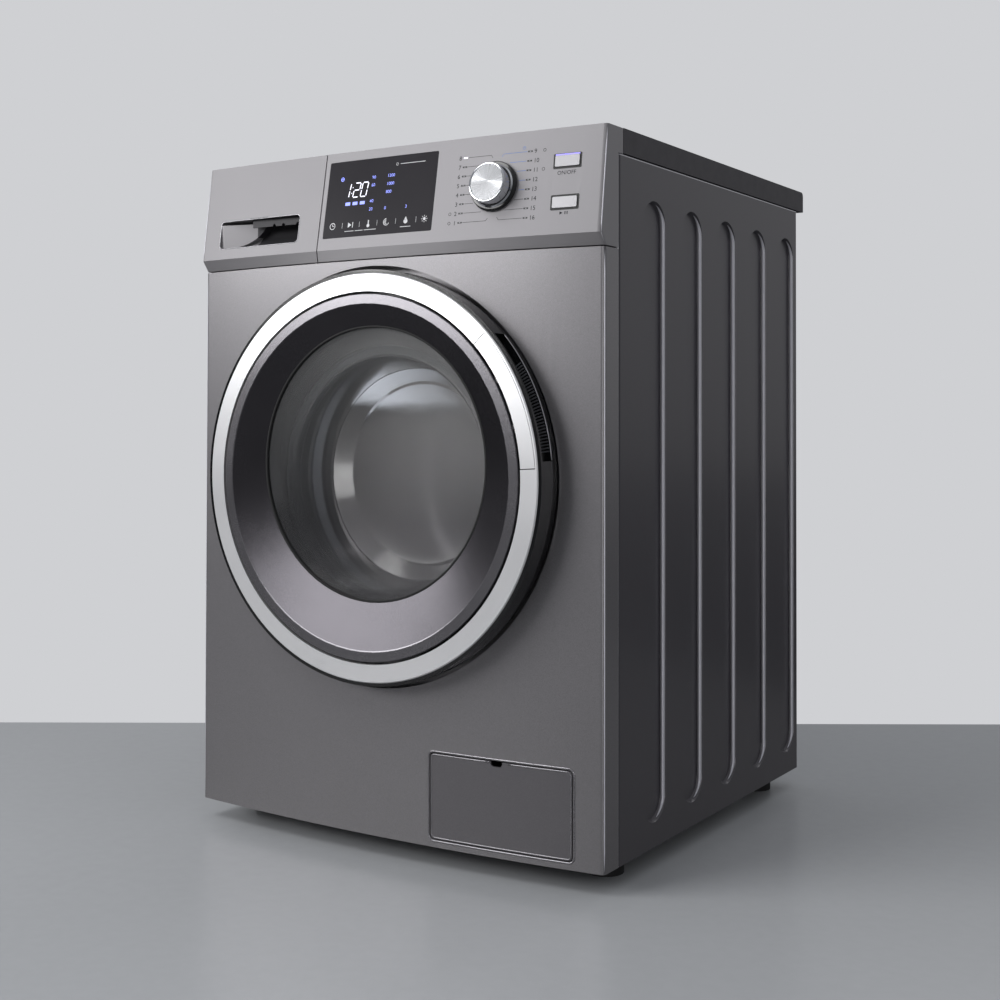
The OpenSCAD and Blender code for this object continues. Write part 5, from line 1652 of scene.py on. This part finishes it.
@dataclass
class Cabinet:
    """Screws, rolled lips and bends of the cabinet."""

    paint: Paintbox
    screws: Geometry
    side_depth: float = 0.58
    channels: int = 5
    channel_first: float = 0.1228
    channel_last: float = 0.043
    channel_half: float = 0.029
    bend_r: float = 0.0027
    bend_inset: float = 0.003
    lip_r: float = 0.9

    @staticmethod
    def columns(node: str, count: int, end: float, side: float) -> list[Point]:
        """Lists places in an upright column along each side of a sheet's back.

        Args:
            node: The sheet's name.
            count: How many places a column has.
            end: How far the column stays from the sheet's top and foot.
            side: How far it stays from its sides.

        Returns:
            The places, in metres.
        """
        low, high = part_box(node)
        heights = [low.z + end + (high.z - low.z - 2 * end) * i / (count - 1) for i in range(count)]
        return [(x, high.y, z) for z in heights for x in (low.x + side, high.x - side)]

    def rear_screws(self) -> None:
        """Sets the screws of the rear panel, its cover and the worktop."""
        places = self.columns("rear_cover", 5, 0.014, 0.008)
        low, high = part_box("rear_cover")
        for x in (low.x * 0.33, high.x * 0.33):
            places += [(x, high.y, low.z + 0.008), (x, high.y, high.z - 0.008)]
        places += self.columns("rear_panel", 6, 0.02, 0.007)
        low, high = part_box("worktop")
        places += [(x, high.y - 0.0026, low.z + 0.011) for x in (low.x + 0.06, high.x - 0.06)]
        aims = [tuple(BACK)] * len(places)
        made = self.screws.grow("rear_screws", self.paint["steel_parts"], Body.CABINET, places, aims)

    def flap_lips(self) -> None:
        """Runs the rolled lips round the service opening and the flap, where they catch the light."""
        low, high = (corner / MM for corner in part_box("pump_surround"))
        notch, sunk, dark = 10.0, -0.0003, self.paint["lip_dark"]
        outer, inner = 4.1, 7.9
        path = rounded_path((low.x + outer, low.z + outer), (high.x - outer, high.z - outer), 7.0)
        made = bead("service_lip", Skin("front_panel").trace(path, sunk), 0.0012, dark, Body.CABINET)
        path = rounded_path((low.x + inner, low.z + inner), (high.x - inner, high.z - inner), 5.0)
        centre, top = (low.x + high.x) / 2, high.z - inner - 0.5
        grip = [i for i, (x, z) in enumerate(path) if z > top and abs(x - centre) < notch]
        path = path[grip[-1] + 1 :] + path[: grip[0]]
        made = bead("flap_lip", Skin("access_flap").trace(path, sunk), 0.0009, dark, Body.FLAP, closed=False)

    def channel_bends(self) -> None:
        """Runs the bends along the rear of the pressed channels on both sides, in a pale finish that paints
        their highlight.
        """
        # The pale finish on these bends is a painted highlight.
        bright, half, r = self.paint["lip_side_highlight"], self.channel_half, self.channel_half - 0.0014
        places, turn = 6, 12
        for side, sign in (("left", -1), ("right", 1)):
            low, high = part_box("side_panel_" + side)
            wall = high.x - self.bend_inset if sign > 0 else low.x + self.bend_inset
            first, last = high.y - self.side_depth + self.channel_first, high.y - self.channel_last
            foot, head = low.z + 0.029 + half, high.z - 0.0425 - half
            for i in range(self.channels):
                y = first + (last - first) * i / (self.channels - 1)
                path = []
                for k in range(-places, places + 1):
                    z, t = (foot if k < 0 else head), math.radians(turn * k)
                    path.append(Vector((wall, y + r * math.cos(t), z + r * math.sin(t))))
                made = bead(f"channel_bend_{side}_{i}", path, self.bend_r, bright, Body.CABINET, False, 5)

    def corner_lips(self) -> None:
        """Runs the bends of the front's upright corners, in a pale finish that paints their highlight."""
        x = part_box("front_panel")[1].x / MM - self.lip_r - 0.05
        for node, side, slot, body in (
            ("front_panel", "left", "panel_paint", Body.CABINET),
            ("front_panel", "right", "panel_paint", Body.CABINET),
            ("control_fascia", "right", "fascia_plastic", Body.CABINET),
            ("drawer_front", "left", "fascia_plastic", Body.DRAWER),
        ):
            sign = 1 if side == "right" else -1
            low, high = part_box(node)[0].z / MM + 0.6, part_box(node)[1].z / MM - 1.2
            count = max(8, round((high - low) / 12))
            path = [(sign * x, low + (high - low) * i / count) for i in range(count + 1)]
            # Their pale finish is a painted highlight.
            line, bright = Skin(node).trace(path, -0.0005), self.paint["lip_side_highlight"]
            made = bead(f"corner_lip_{node}_{side}", line, self.lip_r * MM, bright, body, False, 2)

    def grip_rim(self) -> None:
        """Runs the rim round the drawer's finger recess, in a pale finish that paints its highlight."""
        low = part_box("drawer_front")[0] / MM
        x, z = low.x + 101.3, low.z + 44.9
        half_w, half_h = 69.7, 17.9
        path = rounded_path((x - half_w, z - half_h), (x + half_w, z + half_h), 5.4)
        line = Skin("drawer_front").trace(path, -0.0002)
        # The rim's silver finish is a painted highlight.
        made = bead("grip_rim", line, 0.0006, self.paint["lip_silver_highlight"], Body.DRAWER)

    def build(self) -> None:
        """Builds the cabinet's details."""
        self.rear_screws()
        self.flap_lips()
        self.channel_bends()
        self.corner_lips()
        self.grip_rim()


@dataclass
class DrumInside:
    """The perforations of the drum, as dark discs of painted shade."""

    paint: Paintbox
    holes: Geometry

    def build(self) -> None:
        """Grows staggered dark discs over the drum's inner wall: painted shade where its holes would be."""
        low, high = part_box("drum")
        # The discs are not cut through; their dark finish paints the shade seen through the drum's holes.
        made = self.holes.grow(
            "drum_hole_shade", self.paint["hole_dark"], Body.DRUM, Rows=19, Around=96,
            Reach=(high.x - low.x) / 2 - 0.0022, Front=low.y + 0.03, Pitch=0.0145,
            Up=middle("drum").z, Hole=0.0017,
        )


CURVED = (
    "front_panel", "control_fascia", "drawer_front", "door_bezel", "door_glass", "display_window",
    "access_flap", "pump_surround", "worktop", "indicator_lenses", "tub_rear",
)
CREASED = ("control_fascia", "drawer_front")
OWN_FINISH = {
    "power_button": "key_silver",
    "start_button": "key_silver",
    "drawer_front": "drawer_skin_grip_shade",
    "side_panel_left": "side_skin_bend_highlight",
    "side_panel_right": "side_skin_bend_highlight",
    "access_flap": "flap_skin",
}


def dress(paint: Paintbox) -> None:
    """Gives every CAD node its finish and lets the curved skins shade as curves.

    Args:
        paint: The finishes.
    """
    smooth = smoothing_tree()
    level = next(s.identifier for s in smooth.interface.items_tree if s.name == "Level Edge Angle")
    for part in frame["record"]["subparts"]:
        name = part["node"]
        finish = OWN_FINISH.get(name, part["material_slot"])
        paint.dress(name, finish)
        if name in CURVED:
            modifier = frame["nodes"][name].modifiers.new("smooth", "NODES")
            modifier.node_group = smooth
            modifier[level] = math.radians(LEVEL_EDGE_ANGLE if name in CREASED else EDGE_ANGLE)
            weigh = frame["nodes"][name].modifiers.new("weigh", "WEIGHTED_NORMAL")
            weigh.mode, weigh.keep_sharp = "FACE_AREA_WITH_ANGLE", True
        LOG.info("%s: %s", name, finish)


def main() -> None:
    """Builds the machine's looks piece by piece."""
    logging.basicConfig(level=logging.INFO, format="%(message)s")
    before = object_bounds()
    studio = Studio()
    studio.build()
    paint = Paintbox()
    paint.mix()
    dress(paint)
    ribs, screws, holes = rib_tree(), screw_tree(), perforation_tree()
    for part in (
        ControlPanel(paint), Selector(paint), Door(paint, ribs, screws), Cabinet(paint, screws),
        DrumInside(paint, holes),
    ):
        part.build()
        LOG.info("%s is done", type(part).__name__)
    bpy.context.view_layer.update()
    sizes = [[list(corner) for corner in bounds] for bounds in (before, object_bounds())]


if __name__ == "__main__":
    main()
